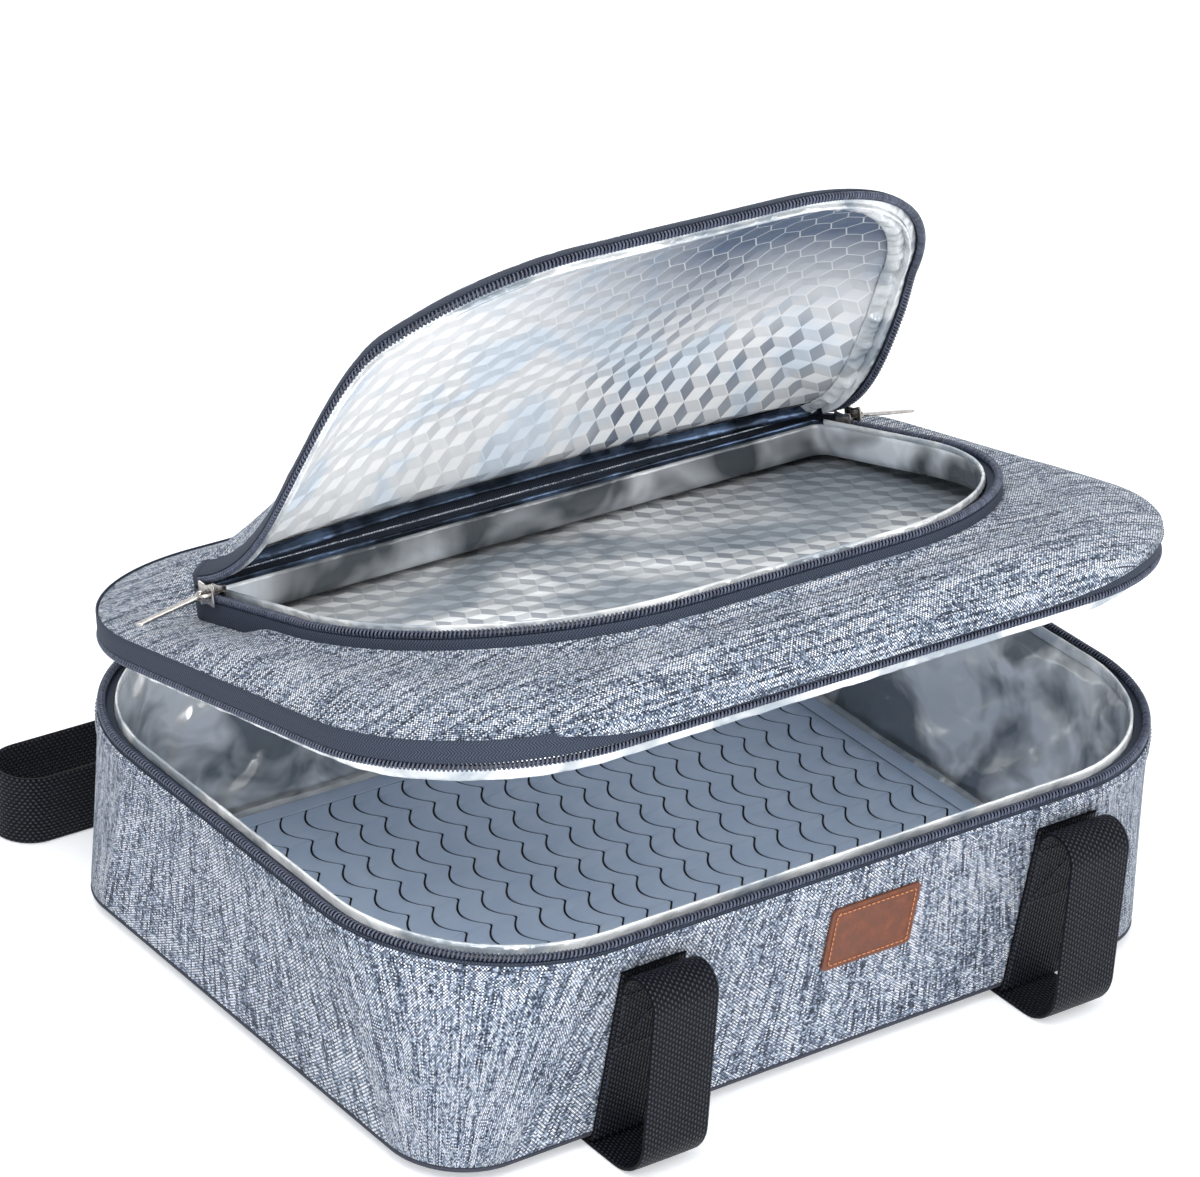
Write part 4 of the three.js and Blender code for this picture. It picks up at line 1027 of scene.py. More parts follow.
def makeStrips():
    half = make["strip"] / 2
    out, under, lowest = make["gap"] + half, -make["gap"] - half, half - make["rise"]
    step = strapLook["frontReach"] - faceY(0) + 16 + 6
    top = strapLook["sewnTop"] + strapLook["lap"]
    path = bentLine([(-faceY(top) - out, top), (-faceY(0) - out, under), (step, under), (step + 20, lowest),
                     (faceY(0) + out, lowest), (faceY(top) + out, top)], 1.2)
    for side, word in ((-1, "Left"), (1, "Right")):
        x = strapLook["middle"] + side * strapLook["spread"]
        line = np.column_stack([np.full(len(path), x), path])
        sides = np.tile([1.0, 0, 0], (len(line), 1))
        parts = [strapPart(inTub(line), sides, make["strip"])]
        addPiece("webbingStrip" + word, parts, webbing, "tub", ["webbing_strip_" + word.lower()], 60)
        rows = []
        for end in (-1, 1):
            normal = unit(np.array([0, end * 1.0, -tub["flare"] / tub["height"]]))

            def spot(across, z):
                return np.array([x + across, end * (faceY(z) + make["gap"] + make["strip"] + 0.12), z + make["rise"]])

            wide, low, high = strapLook["boxHalf"], strapLook["boxLow"], strapLook["boxHigh"]
            box = [(-wide, low), (wide, low), (wide, high), (-wide, high), (-wide, low)]
            lines = [[spot(*a), spot(*b)] for a, b in zip(box, box[1:])]
            lines += [[spot(-wide, low), spot(wide, high)], [spot(wide, low), spot(-wide, high)]]
            lines += [[spot(s * strapLook["edgeRow"], 6), spot(s * strapLook["edgeRow"], low - 3)] for s in (-1, 1)]
            for points in lines:
                points = np.array(points)
                rows += stitchParts(points, np.tile(normal, (2, 1)), 2.6, 1.9, 0.5, 0.25)
        addPiece("webbingStitches" + word, rows, threadDark, "tub", (), 80)


def arch(end, x):
    angle = np.linspace(0, math.pi, 21)
    y = end * (archMiddle - strapLook["archRadius"] * np.cos(angle))
    return np.column_stack([np.full(21, x), y, strapLook["sewnTop"] + strapLook["archRadius"] * np.sin(angle)])


def mirror(line, sides):
    flip = np.array([-1, 1, 1])
    return line[::-1] * flip, sides[::-1] * flip


def makeFrontHandle():
    look = strapLook
    x = -look["spread"]
    outer, floorZ = -archMiddle - look["archRadius"], make["webbing"] / 2 - make["rise"]
    gripZ = floorZ + 1.3
    farY = -faceY(0) + look["frontReach"]
    turn = np.linspace(0, math.pi / 2, 13)
    first = arch(-1, x)
    across = np.tile([1.0, 0, 0], (len(first), 1))
    drop = np.column_stack([np.full(13, x), outer + look["floorBend"] * (1 - np.cos(turn)),
                            floorZ + look["floorBend"] * (1 - np.sin(turn))])
    quarter = np.column_stack([x + look["turnRadius"] * (1 - np.cos(turn)),
                              farY - look["turnRadius"] * (1 - np.sin(turn)), np.full(13, floorZ)])
    quarterSides = np.column_stack([np.cos(turn), -np.sin(turn), np.zeros(13)])
    half = np.concatenate([first, drop, quarter, [[-60.0, farY, gripZ]]])
    sides = np.concatenate([across, across[:13], quarterSides, [[0, -1.0, 0]]])
    other, otherSides = mirror(half, sides)
    line = np.concatenate([half, other]) + np.array([look["middle"], 0, 0])
    flat = np.concatenate([sides, otherSides])
    piece = strapPart(inTub(line), flat, make["webbing"])
    addPiece("frontHandle", [piece], webbing, "front_handle", ["front_handle"], 60)
    makeGrip(farY, gripZ)


def makeGrip(farY, gripZ):
    half = strapLook["grip"] / 2
    stations = np.linspace(-half, half, 57)
    outerPlay, innerPlay = 1.3, 0.35
    angle = np.linspace(0, 2 * math.pi, 33)[:-1]

    def sectionAt(x, play):
        wide, tall = strapLook["width"] / 2 + play, make["webbing"] / 2 + play
        c, s = np.cos(angle), np.sin(angle)
        y = farY + np.sign(c) * wide * np.abs(c) ** 0.25
        z = gripZ + np.sign(s) * tall * np.abs(s) ** 0.4
        return np.column_stack([np.full(32, x + strapLook["middle"]), y, z])

    rings = [sectionAt(x, outerPlay - 0.25 * abs(math.cos(x * 0.11))) for x in stations]
    rings += [sectionAt(x, innerPlay) for x in stations[::-1]]
    grid = inTub(np.array(rings))
    addPiece("handleGrip", [skin(grid, (True, True))], heather, "front_handle", ["handle_grip"], 70)


def makeBackHandle():
    look = strapLook
    outer, lowZ = archMiddle + look["archRadius"], look["width"] / 2 + make["gap"] - make["rise"]
    farY, loopX = outer + 2 * look["backLoop"], look["backLoop"] - look["backEnd"]
    line, sides = [arch(1, -look["spread"])], [np.tile([1.0, 0, 0], (21, 1))]

    def drop(end, turn):
        reach = look["spread"] + (1 if end < 0 else -1) * look["backDrop"] * (1 - np.cos(turn))
        return (np.column_stack([end * reach, np.full(len(turn), outer),
                                 lowZ + look["backDrop"] * (1 - np.sin(turn))]),
                np.column_stack([np.cos(turn), np.zeros(len(turn)), -np.sin(turn)]))

    turn = np.linspace(0, math.pi / 2, 13)
    points, way = drop(-1, turn)
    line.append(points), sides.append(way)
    turn = np.linspace(0, math.pi, 25)
    line.append(np.column_stack([loopX - look["backLoop"] * np.sin(turn),
                                 outer + look["backLoop"] * (1 - np.cos(turn)), np.full(25, lowZ)]))
    sides.append(np.tile([0, 0, -1.0], (25, 1)))
    share = np.linspace(0, 1, 25)[:-1]
    line.append(np.column_stack([look["spread"] - look["backDrop"] - look["backSway"] * (1 - share),
                                 farY + (outer - farY) * (1 - np.cos(math.pi * share)) / 2, np.full(24, lowZ)]))
    sides.append(np.tile([0, 0, -1.0], (24, 1)))
    points, way = drop(1, np.linspace(math.pi / 2, 0, 13))
    line.append(points), sides.append(way)
    line.append(arch(1, look["spread"])[::-1]), sides.append(np.tile([1.0, 0, 0], (21, 1)))
    line = np.concatenate(line) + np.array([look["middle"], 0, 0])
    addPiece("backHandle", [strapPart(inTub(line), np.concatenate(sides), make["webbing"])], webbing, "back_handle",
             ["back_handle"], 60)


patchLook = {"width": 46.0, "height": 31.0, "thickness": 1.4, "corner": 2.5, "x": 13.0, "z": 61.0}


def makePatch():
    look = patchLook
    lean = math.atan2(tub["flare"], tub["height"])
    shape = {"width": look["width"], "depth": look["height"], "front": look["corner"], "back": look["corner"],
             "middle": 0.0}

    def onWall(points):
        x, up, out = np.moveaxis(np.asarray(points, float), -1, 0)
        # the plate lies against the leaning front wall
        y = -faceY(look["z"]) - make["gap"] - up * math.sin(lean) - out * math.cos(lean)
        z = look["z"] + up * math.cos(lean) - out * math.sin(lean)
        return inTub(np.stack([x + look["x"], y, z], -1))

    thick = look["thickness"]
    # a raised edge, the groove that the stitches lie in, and the face
    profile = [(1.0, 0.0), (0.12, 0.1), (0, 0.5), (0.1, thick - 0.25), (0.5, thick - 0.02), (1.6, thick),
               (1.9, thick - 0.18), (2.5, thick - 0.18), (2.8, thick), (5.0, thick)]
    rings = [raised(outline(shape, inset, arc=8, straight=24), height) for inset, height in profile]
    fill = fillGrid(dict(shape, front=1.0, back=1.0), 5.0, 1.0, thick)
    fill[..., 2] += 0.05 * ripple(fill[..., 0] / 4, fill[..., 1] / 4, 2)
    body = skin(onWall(np.array(rings)), (False, True))
    capEnd(body, np.arange(rings[0].shape[0]))
    uv = fill[..., :2]
    face = slab(onWall(fill), 0.9, uv=uv)
    ringUv = np.array([np.concatenate([ring[:, :2], ring[:1, :2]]) for ring in rings]
                      + [np.zeros((len(rings[0]) + 1, 2))])
    body["quadUv"] = skin(np.array(rings), (False, True), ringUv)["quadUv"]
    addPiece("leatherPatch", [body, face], leather, "tub", ["leather_patch"], 40)
    line = outline(shape, 2.6, arc=6, straight=20)
    line = np.concatenate([line, line[:1]])
    flat = raised(line, thick + 0.02)
    normal = onWall(flat + np.array([0, 0, 1.0])) - onWall(flat)
    addPiece("patchStitches", stitchParts(onWall(flat), normal, 2.5, 1.8, 0.55, 0.3), threadBrown, "tub", (),
             80)


matLook = {"bottom": 6.0, "thickness": 3.0, "corner": 24.0, "margin": 5.0, "pitch": 12.8, "wave": 24.0,
           "swing": 8.0, "cusp": 0.12, "round": 0.42, "groove": 1.15, "depth": 0.9, "border": 9.0}


def makeMat():
    look = matLook
    floor = tubShape(look["bottom"])
    inset = make["liner"] + make["foil"] + look["margin"]
    shape = {"width": floor["width"] - 2 * inset, "depth": floor["depth"] - 2 * inset, "front": look["corner"],
             "back": look["corner"], "middle": 0.0}
    low, top = look["bottom"], look["bottom"] + look["thickness"]
    under = top - look["depth"]
    profile = [(3.0, low), (0.4, low), (0, low + 0.5), (0, top - 0.45), (0.25, top - 0.1), (0.7, top),
               (look["border"] - 0.5, top), (look["border"], under), (look["border"] + 3, under)]
    rings = [raised(outline(shape, inset, arc=10, straight=30), height) for inset, height in profile]
    body = skin(inTub(np.array(rings)), (False, True))
    bed = slab(inTub(fillGrid(dict(shape), look["border"] + 2.5, 10, under)), look["thickness"] - look["depth"] - 0.1)
    halfX, halfY = shape["width"] / 2 - look["border"] - 0.5, shape["depth"] / 2 - look["border"] - 0.5
    radius = look["corner"] - look["border"] - 0.5
    y = np.linspace(-halfY, halfY, 210)
    swing = -look["swing"] * (np.sin(math.pi * y / look["wave"]) ** 2 + look["cusp"] ** 2) ** look["round"]
    reach = np.full_like(y, halfX)
    over = np.abs(y) - (halfY - radius)
    reach[over > 0] = halfX - radius + np.sqrt(np.maximum(radius ** 2 - over[over > 0] ** 2, 0))
    ribs = []
    g = look["groove"] / 2
    for number in range(-20, 21):
        left = np.clip(number * look["pitch"] + swing + g, -reach, reach)
        right = np.clip((number + 1) * look["pitch"] + swing - g, -reach, reach)
        keep = right - left > 0.9
        if keep.sum() < 4:
            continue
        a, b, yy = left[keep], right[keep], y[keep]
        section = [(a, under - 0.2), (a, top - 0.22), (a + 0.2, top), (b - 0.2, top), (b, top - 0.22),
                   (b, under - 0.2)]
        grid = np.stack([np.column_stack([x, yy, np.full(len(yy), z)]) for x, z in section])
        ribs.append(capColumns(skin(inTub(grid), (True, False)), *grid.shape[:2]))
    silicone = siliconeFinish("silicone", (top + make["rise"]) * mm)
    addPiece("siliconeMat", [body, bed] + ribs, silicone, "mat", ["silicone_mat"], 50)


# rows of the lid's outer cloth, from the top of the zip tape to the foot of the collar
def shoulderGrid(rows=30, arc=24, straight=36):
    foot = openingInLid(raised(outline(openingShape, 0, arc=arc, straight=straight), lidLook["foot"]))
    rim = outline(rimShape, 0, arc=arc, straight=straight)
    low = raised(rim, lidLook["start"])
    share = np.linspace(0, 1, rows)[:, None, None]
    grid = low[None] * (1 - share) + foot[None] * share
    grid[..., 2] += lid["bulge"] * np.sin(math.pi * share[..., 0])
    return grid, lengthAlong(rim, True)


lidLook = {"start": 14.6, "foot": -13.4, "hemTop": 13.4, "wave": 0.8, "crumple": 3.2, "hem": 8.4, "sideHem": 0.2,
           "backHem": 0.1, "rightHem": 4.4, "collarLap": 4.8, "sag": 4.2}


def eased(value, start, end):
    share = np.clip((value - start) / (end - start), 0, 1)
    return share * share * (3 - 2 * share)


# the cloth hangs over the zip tape: nearly to the coil at the front, hardly on the left and at the back
def lidHem(x, y):
    look = lidLook
    hem = look["sideHem"] + (look["hem"] - look["sideHem"]) * eased(x, -165, -95)
    hem = hem - look["rightHem"] * eased(x, 90, 165)
    return hem + (look["backHem"] - hem) * eased(y, 60, 115)


def shoulderWave(along, share):
    soft = ripple(along / 80.0, share * 2.2, 21) * 0.6 + ripple(along / 30.0 + share, share * 3.4, 22) * 0.4
    return lidLook["wave"] * soft * np.sin(math.pi * share) - 0.3 * np.sin(math.pi * share)


# the lid's outer cloth, its stitched hem and the foam under it
def makeLidCloth():
    grid, along = shoulderGrid()
    rows, columns = grid.shape[:2]
    share = np.linspace(0, 1, rows)[:, None]
    at = np.broadcast_to(along[None, :columns], (rows, columns))
    normals = gridNormals(grid, True)
    normals *= np.sign((normals[..., 2]).mean())
    wave = shoulderWave(at, share + 0 * at)[..., None] * normals
    rimOut, footOut = outward(grid[0, :, :2], True), outward(grid[-1, :, :2], True)
    reach = lidHem(grid[0, :, 0], grid[0, :, 1])
    over = eased(reach, 0.3, 3.0)                # 1 where the hem hangs over the tape, 0 where it is set inside it
    lower, lowerUv, lowerWay = [], [], []
    for out, drop in ((0.9, 1.0), (1.25, 0.93), (1.25, 0.5), (1.2, 0.03), (0.75, -0.06)):
        height = (lidLook["hemTop"] - drop * reach) * over + (12.2 - 0.3 * drop) * (1 - over)
        lower.append(np.column_stack([grid[0, :, :2] + rimOut * (out * over - 1.25 * (1 - over))[:, None], height]))
        lowerUv.append(grid[0, :, :2] + rimOut * (2.0 + drop * reach)[:, None])
        lowerWay.append(np.column_stack([rimOut * over[:, None], 1.1 - over]))
    # the cloth curves up on to the collar's tape
    x, y = grid[..., 0], grid[..., 1]
    ends, rear = eased(np.abs(x), 110, 165), eased(y, 0, 60)
    climb = (share ** 7 * (1 - eased(np.abs(x), 135, 155) * eased(y, 15, 40)))[..., None]
    wave = wave + (lidLook["sag"] * np.sin(math.pi * share) * ends * rear)[..., None] * np.array([0, 0, -1.0])
    lap = openingInLid(raised(outline(openingShape, -1.25, arc=24, straight=36),
                              lidLook["foot"] + lidLook["collarLap"])) - grid[-1]
    inside = ((1 - share) ** 3)[..., None] * (1 - over)[None, :, None]
    drawn = grid + wave + climb * lap + inside * raised(rimOut * -1.25, -2.2)
    normals[-4:] = normals[-4:] * 0.6 + 0.4 * raised(footOut, 0.0)
    upper = [drawn[-1] + raised(-footOut * 0.35, 0.3)]
    upperUv = [grid[-1, :, :2] - footOut]
    upperWay = [raised(footOut, 0.1)]
    cloth = np.concatenate([lower, drawn, upper])
    flatUv = np.concatenate([lowerUv, grid[..., :2], upperUv])
    flatUv = np.concatenate([flatUv, flatUv[:, :1]], 1)
    way = unit(np.concatenate([lowerWay, normals, upperWay]))
    addPiece("lidShoulderCloth", [slab(inLid(cloth), make["cloth"], True, flatUv, turnNormals(way))], heatherAcross,
             "lid", ["lid_shoulder_fabric"], 60)
    sewn = over > 0.8
    line = np.column_stack([grid[0, :, :2] + rimOut * 1.3, lidLook["hemTop"] - 0.78 * reach])[sewn]
    addPiece("lidHemStitches", stitchParts(inLid(line), turnNormals(lowerWay[0][sewn]), width=0.45), thread, "lid",
             (), 80)
    foamTop = grid + wave - normals * 2.15 + inside * np.array([0, 0, -2.2])
    foamPiece = addPiece("lidShoulderFoam", [slab(inLid(foamTop), 3.0, True, None, turnNormals(normals))], foamFinish,
                         "lid", ["lid_shoulder_foam"], 60)


# the lid's slack foil lining, and the foil walls of the compartment in it
def makeLidFoil():
    fineGrid, fineAlong = shoulderGrid(44, 64, 90)
    fineShare = np.linspace(0, 1, 44)[:, None]
    fineAt = np.broadcast_to(fineAlong[None, :fineGrid.shape[1]], fineGrid.shape[:2])
    fineNormals = gridNormals(fineGrid, True)
    fineNormals *= np.sign((fineNormals[..., 2]).mean())
    swell = np.sin(math.pi * np.clip(fineShare * 1.02, 0, 1))
    fold = np.clip(crumple(fineAt / 48.0, fineShare * 2.2 + 0 * fineAt, 31) + 0.5, 0, 2) * swell
    lining = fineGrid - fineNormals * (6.1 + lidLook["crumple"] * fold + 0.3)[..., None]
    skirt = raised(outline(rimShape, 7.2, arc=64, straight=90), 5.6)
    ups = []
    for inset, height in ((4.6, -17.5), (6.4, -13.5), (7.2, -9.0), (7.6, -5.0), (7.5, -2.6)):
        ups.append(openingInLid(raised(outline(openingShape, inset, arc=64, straight=90), height)))
    collarOut = raised(outward(ups[0], True), 0.0)
    walls = np.concatenate([lining[-3:-1], ups])
    wallWay = np.concatenate([fineNormals[-3:-1], np.repeat(collarOut[None], 5, 0)])
    lining = np.concatenate([skirt[None], (skirt + np.array([0, 0, 4.5]))[None], lining[:-2]])
    outside = raised(outward(skirt, True), 0.0)
    fineNormals = np.concatenate([outside[None], outside[None], fineNormals[:-2]])
    addPiece("lidFoilLining", [slab(inLid(lining), 0.4, True, None, turnNormals(fineNormals))], foil, "lid",
             ["lid_liner"], 180)
    # the compartment's walls take the darker copy of the foil: painted shade
    addPiece("compartmentWallFoil", [slab(inLid(walls), 0.4, True, None, turnNormals(wallWay))], foilSide, "lid",
             ["lid_liner"], 180)


def makeLidZip():
    addPiece("lidZipCoil", coilPart(onRim, mainRun, zipLine["split"] + 1.5, inLid), coilBlack, "lid",
             ["lid_zip_coil"], 80)
    addPiece("lidZipTape", [band(onRim, tapeBox(zipLine["tapeStart"], zipLine["tapeEnd"]), mainRun, inLid, arc=24)],
             zipTape, "lid", ["lid_zip_tape"])
    addPiece("lidHingeCloth", [band(onRim, tapeBox(make["gap"], zipLine["tapeEnd"]), hingeRun, inLid, straight=60)],
             heather, "lid", ["lid_hinge_band"])
    addPiece("lidRimTape", [band(onRim, roundedBox(1.5, 9.1, 4.1, 4.9), wholeRun, inLid)], zipTape, "lid",
             ["lid_rim_tape"])


# the lid's lower lip, the embossed floor of the compartment and the foil under it
def makeLidFloor():
    inset, gap = lid["lipInset"], make["gap"]
    lip = [(inset + 0.5, -6.4), (inset - 0.2, -5.9), (inset - 0.4, -3.4), (inset - 0.2, 0), (inset, 4.7),
           (inset + 0.8, 4.9), (inset + 1.5, 4.6), (inset + 1.6, 0), (inset + 1.5, -5.6), (inset + 1.1, -6.4)]

    def uneven(along, inset, height):
        return (0.5 * ripple(along / 9, height / 4 + along * 0, 12)
                + 0.4 * crumple(along / 14, height / 9 + along * 0, 13)) \
            * np.clip(1 - height / 5, 0, 1)

    addPiece("lidFoilLip", [band(onRim, lip, wholeRun, inLid, 48, 110, uneven)], foilEdge, "lid",
             ["lid_lower_binding"], 70)
    boardInset = inset + 1.6 + gap
    top = lid["lipHeight"] - lid["lipDrop"] - 2.3
    floor = fillGrid(rimShape, boardInset + 0.1, 1.5, 0)
    floor[..., 2] = top + gap + make["foil"] + cubes(floor) * 0.5 + softLie(floor, 41)
    uv = floor[..., :2]
    addPiece("lidFloorFoil", [slab(inLid(floor), 0.25, uv=uv)], foilFloor, "lid", ["lid_divider_foil"],
             20)
    below = fillGrid(rimShape, boardInset + 0.1, 3.0, top - 2.4 - gap - 0.4)
    below[..., 2] -= 0.12 * crumple(below[..., 0] / 14, below[..., 1] / 14, 44) + 0.05
    addPiece("lidUndersideFoil", [slab(inLid(below), 0.2)], foil, "lid", ["lid_underside_foil"], 180)


# directions of the lid's own frame, turned with it
def turnNormals(normals):
    y, z = turned(normals[..., 1], normals[..., 2], lid["angle"])
    return np.stack([normals[..., 0], y, z], -1)


# height of the pressed pattern: hexagons, each of three tilted rhombi
def cubes(grid, size=15.0, depth=0.35):
    x, y = grid[..., 0] / size, grid[..., 1] / size
    tall = math.sqrt(3)

    def nearest(dx, dy):
        qx = (x - dx) - np.round(x - dx)
        qy = (y - dy) - tall * np.round((y - dy) / tall)
        return qx, qy

    ax, ay = nearest(0, 0)
    bx, by = nearest(0.5, tall / 2)
    near = ax * ax + ay * ay < bx * bx + by * by
    qx, qy = np.where(near, ax, bx), np.where(near, ay, by)
    ways = [qx * math.cos(a) + qy * math.sin(a) for a in np.radians([90, 210, 330])]
    return depth * (0.5 - np.maximum(np.maximum(ways[0], ways[1]), ways[2]) * 1.6)


def softLie(grid, seed):
    wide = 0.35 * ripple(grid[..., 0] / 55, grid[..., 1] / 70, seed)
    return wide + 0.15 * ripple(grid[..., 0] / 21, grid[..., 1] / 26, seed + 1)


def makeCollar():
    addPiece("collarZipCoil", coilPart(onOpening, topRun, -zipLine["split"] - 1.5, inOpening), coilBlack, "lid",
             ["collar_zip_coil"], 80)
    addPiece("collarZipTape",
             [band(onOpening, tapeBox(-zipLine["tapeEnd"], -zipLine["tapeStart"]), topRun, inOpening, arc=30)],
             zipTape, "lid", ["collar_zip_tape"])
    addPiece("collarHingeCloth",
             [band(onOpening, tapeBox(-zipLine["tapeEnd"], -0.15), topHingeRun, inOpening, straight=60)], zipTape,
             "lid", ["collar_hinge_band"])
    addPiece("collarRimTape", [band(onOpening, roundedBox(1.5, 6.5, -4.9, -4.1), wholeRun, inOpening, arc=30)],
             zipTape, "lid", ["collar_rim_tape"])
    lip = [(6.8, -3.0), (6.85, -1.0), (7.2, -0.4), (7.8, -0.3), (8.3, -0.7), (8.4, -1.6), (8.2, -2.6), (7.6, -3.1)]

    def uneven(along, inset, height):
        return 0.18 * ripple(along / 7, inset * 0.6 + along * 0, 18)

    # the binding's back run, by the hinge, is painted dark as painted shade
    for name, run, finish in (("collarFoilBinding", topRun, foilEdge), ("collarBackBinding", topHingeRun, foilDeep)):
        addPiece(name, [band(onOpening, lip, run, inOpening, 48, 90, uneven)], finish, "lid", ["collar_binding"],
                 70)


# distance of each point of a filled grid from the outline's edge
def edgeDistance(shape, grid):
    x, y = np.abs(grid[..., 0]), grid[..., 1]
    middle, halfWidth, halfDepth = shape["middle"], shape["width"] / 2, shape["depth"] / 2
    radius = np.where(y < middle, shape["front"], shape["back"])
    dx, dy = x - (halfWidth - radius), np.abs(y - middle) - (halfDepth - radius)
    roundEdge = radius - np.sqrt(np.maximum(dx, 0) ** 2 + np.maximum(dy, 0) ** 2)
    return np.where((dx > 0) & (dy > 0), roundEdge, np.minimum(radius - dx, radius - dy))


flapEdge = {"inset": 6.5, "height": 9.3, "slope": 0.452, "reach": 38.0, "thick": 5.8, "backReach": 9.5}


# height of the flap's outer cloth over the zip line, by the distance from the flap's edge
def flapRise(edge):
    look = flapEdge
    top = look["slope"] * (look["reach"] - look["inset"])
    share = np.clip((edge - look["inset"]) / (look["reach"] * 1.45 - look["inset"]), 0, 1)
    return look["height"] + top * (1 - (1 - share) ** 1.6)


# the panel reaches nearly to the flap's hinge, and the gathered foil narrows there
def panelShape(share):
    reach = flapEdge["backReach"] * share
    return dict(openingShape, depth=opening["depth"] + reach, middle=openingShape["middle"] + reach / 2)


def upright(grid):
    return np.broadcast_to([0, 0, 1.0], grid.shape)


def makeFlap():
    look = flapEdge
    grid = fillGrid(openingShape, look["inset"] - 0.3, 3.0)
    edge = edgeDistance(openingShape, grid)
    wave = 0.7 * ripple(grid[..., 0] / 45, grid[..., 1] / 45, 51) * np.clip(edge / 30, 0, 1)
    grid[..., 2] = flapRise(edge) + wave
    uv = grid[..., :2]
    addFlapPiece("flapCloth", [slab(grid, 1.0, uv=uv, normal=upright(grid))], heatherAcross, ["flap_fabric"],
                 60)
    foamGrid = fillGrid(openingShape, 14.0, 8.0)
    foamGrid[..., 2] = flapRise(edgeDistance(openingShape, foamGrid)) - 2.0
    for piece in addFlapPiece("flapFoam", [slab(foamGrid, 3.0, normal=upright(foamGrid))],
                              foamFinish, ["flap_foam"], 60):
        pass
    panelInset = make["liner"] + flap["gather"] + make["gap"]
    panel = fillGrid(panelShape(1), panelInset - 0.4, 1.4)
    edge = np.maximum(edgeDistance(openingShape, panel), panelInset - 0.4)
    border = np.clip((edge - panelInset) / 9, 0, 1)
    panel[..., 2] = flapRise(edge) - look["thick"] + cubes(panel) * border + 0.4 * softLie(panel, 61) * border
    uv = panel[..., :2]
    addFlapPiece("flapFoilPanel", [slab(panel, -0.3, uv=uv, normal=upright(panel))], foilPanel,
                 ["flap_foil_panel"], 20)
    makeGather(float(flapRise(np.array(panelInset))) - look["thick"])
    lip = [(6.8, 5.6), (6.85, 1.0), (7.2, 0.4), (7.8, 0.3), (8.3, 0.7), (8.4, 2.0), (8.2, 5.2), (7.6, 5.7)]

    def uneven(along, inset, height):
        return 0.2 * ripple(along / 6, inset * 0.6 + along * 0, 28)

    leaning = [(0.5, 4.1), (1.2, 5.1), (2.6, 6.3), (4.4, 7.6), (7.0, 9.1)]
    # the binding's back run, by the hinge, is painted dark as painted shade
    for name, run, finish in (("flapFoilBinding", topRun, foilEdge), ("flapBackBinding", topHingeRun, foilDeep)):
        addFlapPiece(name, [band(onOpening, lip, run, np.asarray, 48, 90, uneven)], finish, ["flap_binding"],
                     70)
    addFlapPiece("flapRimTape", [band(onOpening, roundedBox(2.2, 6.5, 4.1, 4.9), wholeRun, np.asarray, 30)], zipTape,
                 ["flap_rim_tape"])
    addFlapPiece("flapZipTape", [band(onOpening, pathSection(leaning, 0.8), topRun, np.asarray, 30)], zipTape,
                 ["flap_zip_tape"])
    addFlapPiece("flapZipCoil", coilPart(onOpening, topRun, zipLine["split"] + 1.5, np.asarray), coilBlack,
                 ["flap_zip_coil"], 80)
    addFlapPiece("flapHingeCloth", [band(onOpening, pathSection([(0.5, 0.2), (0.5, 2.2)] + leaning, 0.8), topHingeRun,
                                         np.asarray, 14, 60)], zipTape, ["flap_hinge_band"])


# foil gathered round the panel in small puckers
def makeGather(inner):
    arc, straight, rows = 90, 150, 9
    line = outline(openingShape, 0, arc=arc, straight=straight)
    along = lengthAlong(line, True)[:len(line)]
    share = np.linspace(0, 1, rows)
    drawn = 1 + 0.8 * eased(line[:, 0], 40, 110)
    grid = []
    for s in share:
        pucker = ripple(along / 3.1, s * 0.9 + along * 0, 71) * 0.75
        pucker = pucker + ripple(along / 6.3, s * 0.6 + along * 0, 72) * 0.8
        room = math.sin(math.pi * min(s * 0.85 + 0.1, 1)) * drawn
        inset = 7.4 + (flap["gather"] + 1.6) * s
        flat = outline(panelShape(s), inset, arc=arc, straight=straight)
        height = 5.9 + (inner - 0.5 - 5.9) * s - 1.3 * room + pucker * room * 1.5
        grid.append(np.column_stack([flat, height]))
    grid = np.array(grid)
    ruffle = []
    for s in np.linspace(0, 1, 6):
        pucker = ripple(along / 3.3, s * 0.8 + along * 0, 73) + 0.7 * ripple(along / 7.5, s * 0.5 + along * 0, 74)
        flat = outline(openingShape, 3.5 + 3.2 * s, arc=arc, straight=straight)
        stand = 0.42 * drawn * pucker * math.sin(math.pi * (0.15 + 0.75 * s))
        ruffle.append(np.column_stack([flat, 3.5 - 1.3 * s + stand]))
    ruffle = np.array(ruffle)
    # the part by the hinge is a piece of its own, deep in shade, in the darker copy of the foil with that shade
    # painted in
    behind = line[:, 1] > -hingeEnd
    first = int(np.argmin(behind)) - 1
    last = len(line) - int(np.argmin(behind[::-1]))
    front = np.arange(first, last + 1)
    back = np.concatenate([np.arange(last, len(line)), np.arange(0, first + 1)])
    for name, columns, finish in (("flapFoilGather", front, foilEdge), ("flapBackGather", back, foilSide)):
        parts = [part[:, columns] for part in (grid, ruffle)]
        addFlapPiece(name, [slab(part, 0.3, normal=-upright(part)) for part in parts], finish,
                     ["flap_gathered_foil"], 180)


def makeHingeStrip():
    section = roundedBox(-1.3, -0.3, tub["height"] - 7.0, tub["height"] + lid["lift"] - 0.3, 0.2, 6)
    addPiece("lidHingeStrip", [band(onRim, section, hingeRun, inTub, straight=60)], heather, "hinge_strip",
             ["lid_hinge_strip"])


sliderLook = {"length": 11.0, "tall": 5.6, "face": 1.1, "depth": 1.5, "waist": 0.72,
              "pull": 32.0, "pullWide": 5.4, "pullNarrow": 4.6, "pullThick": 1.6, "eye": 1.75, "topPlace": 22.0,
              "mainTurn": 25}


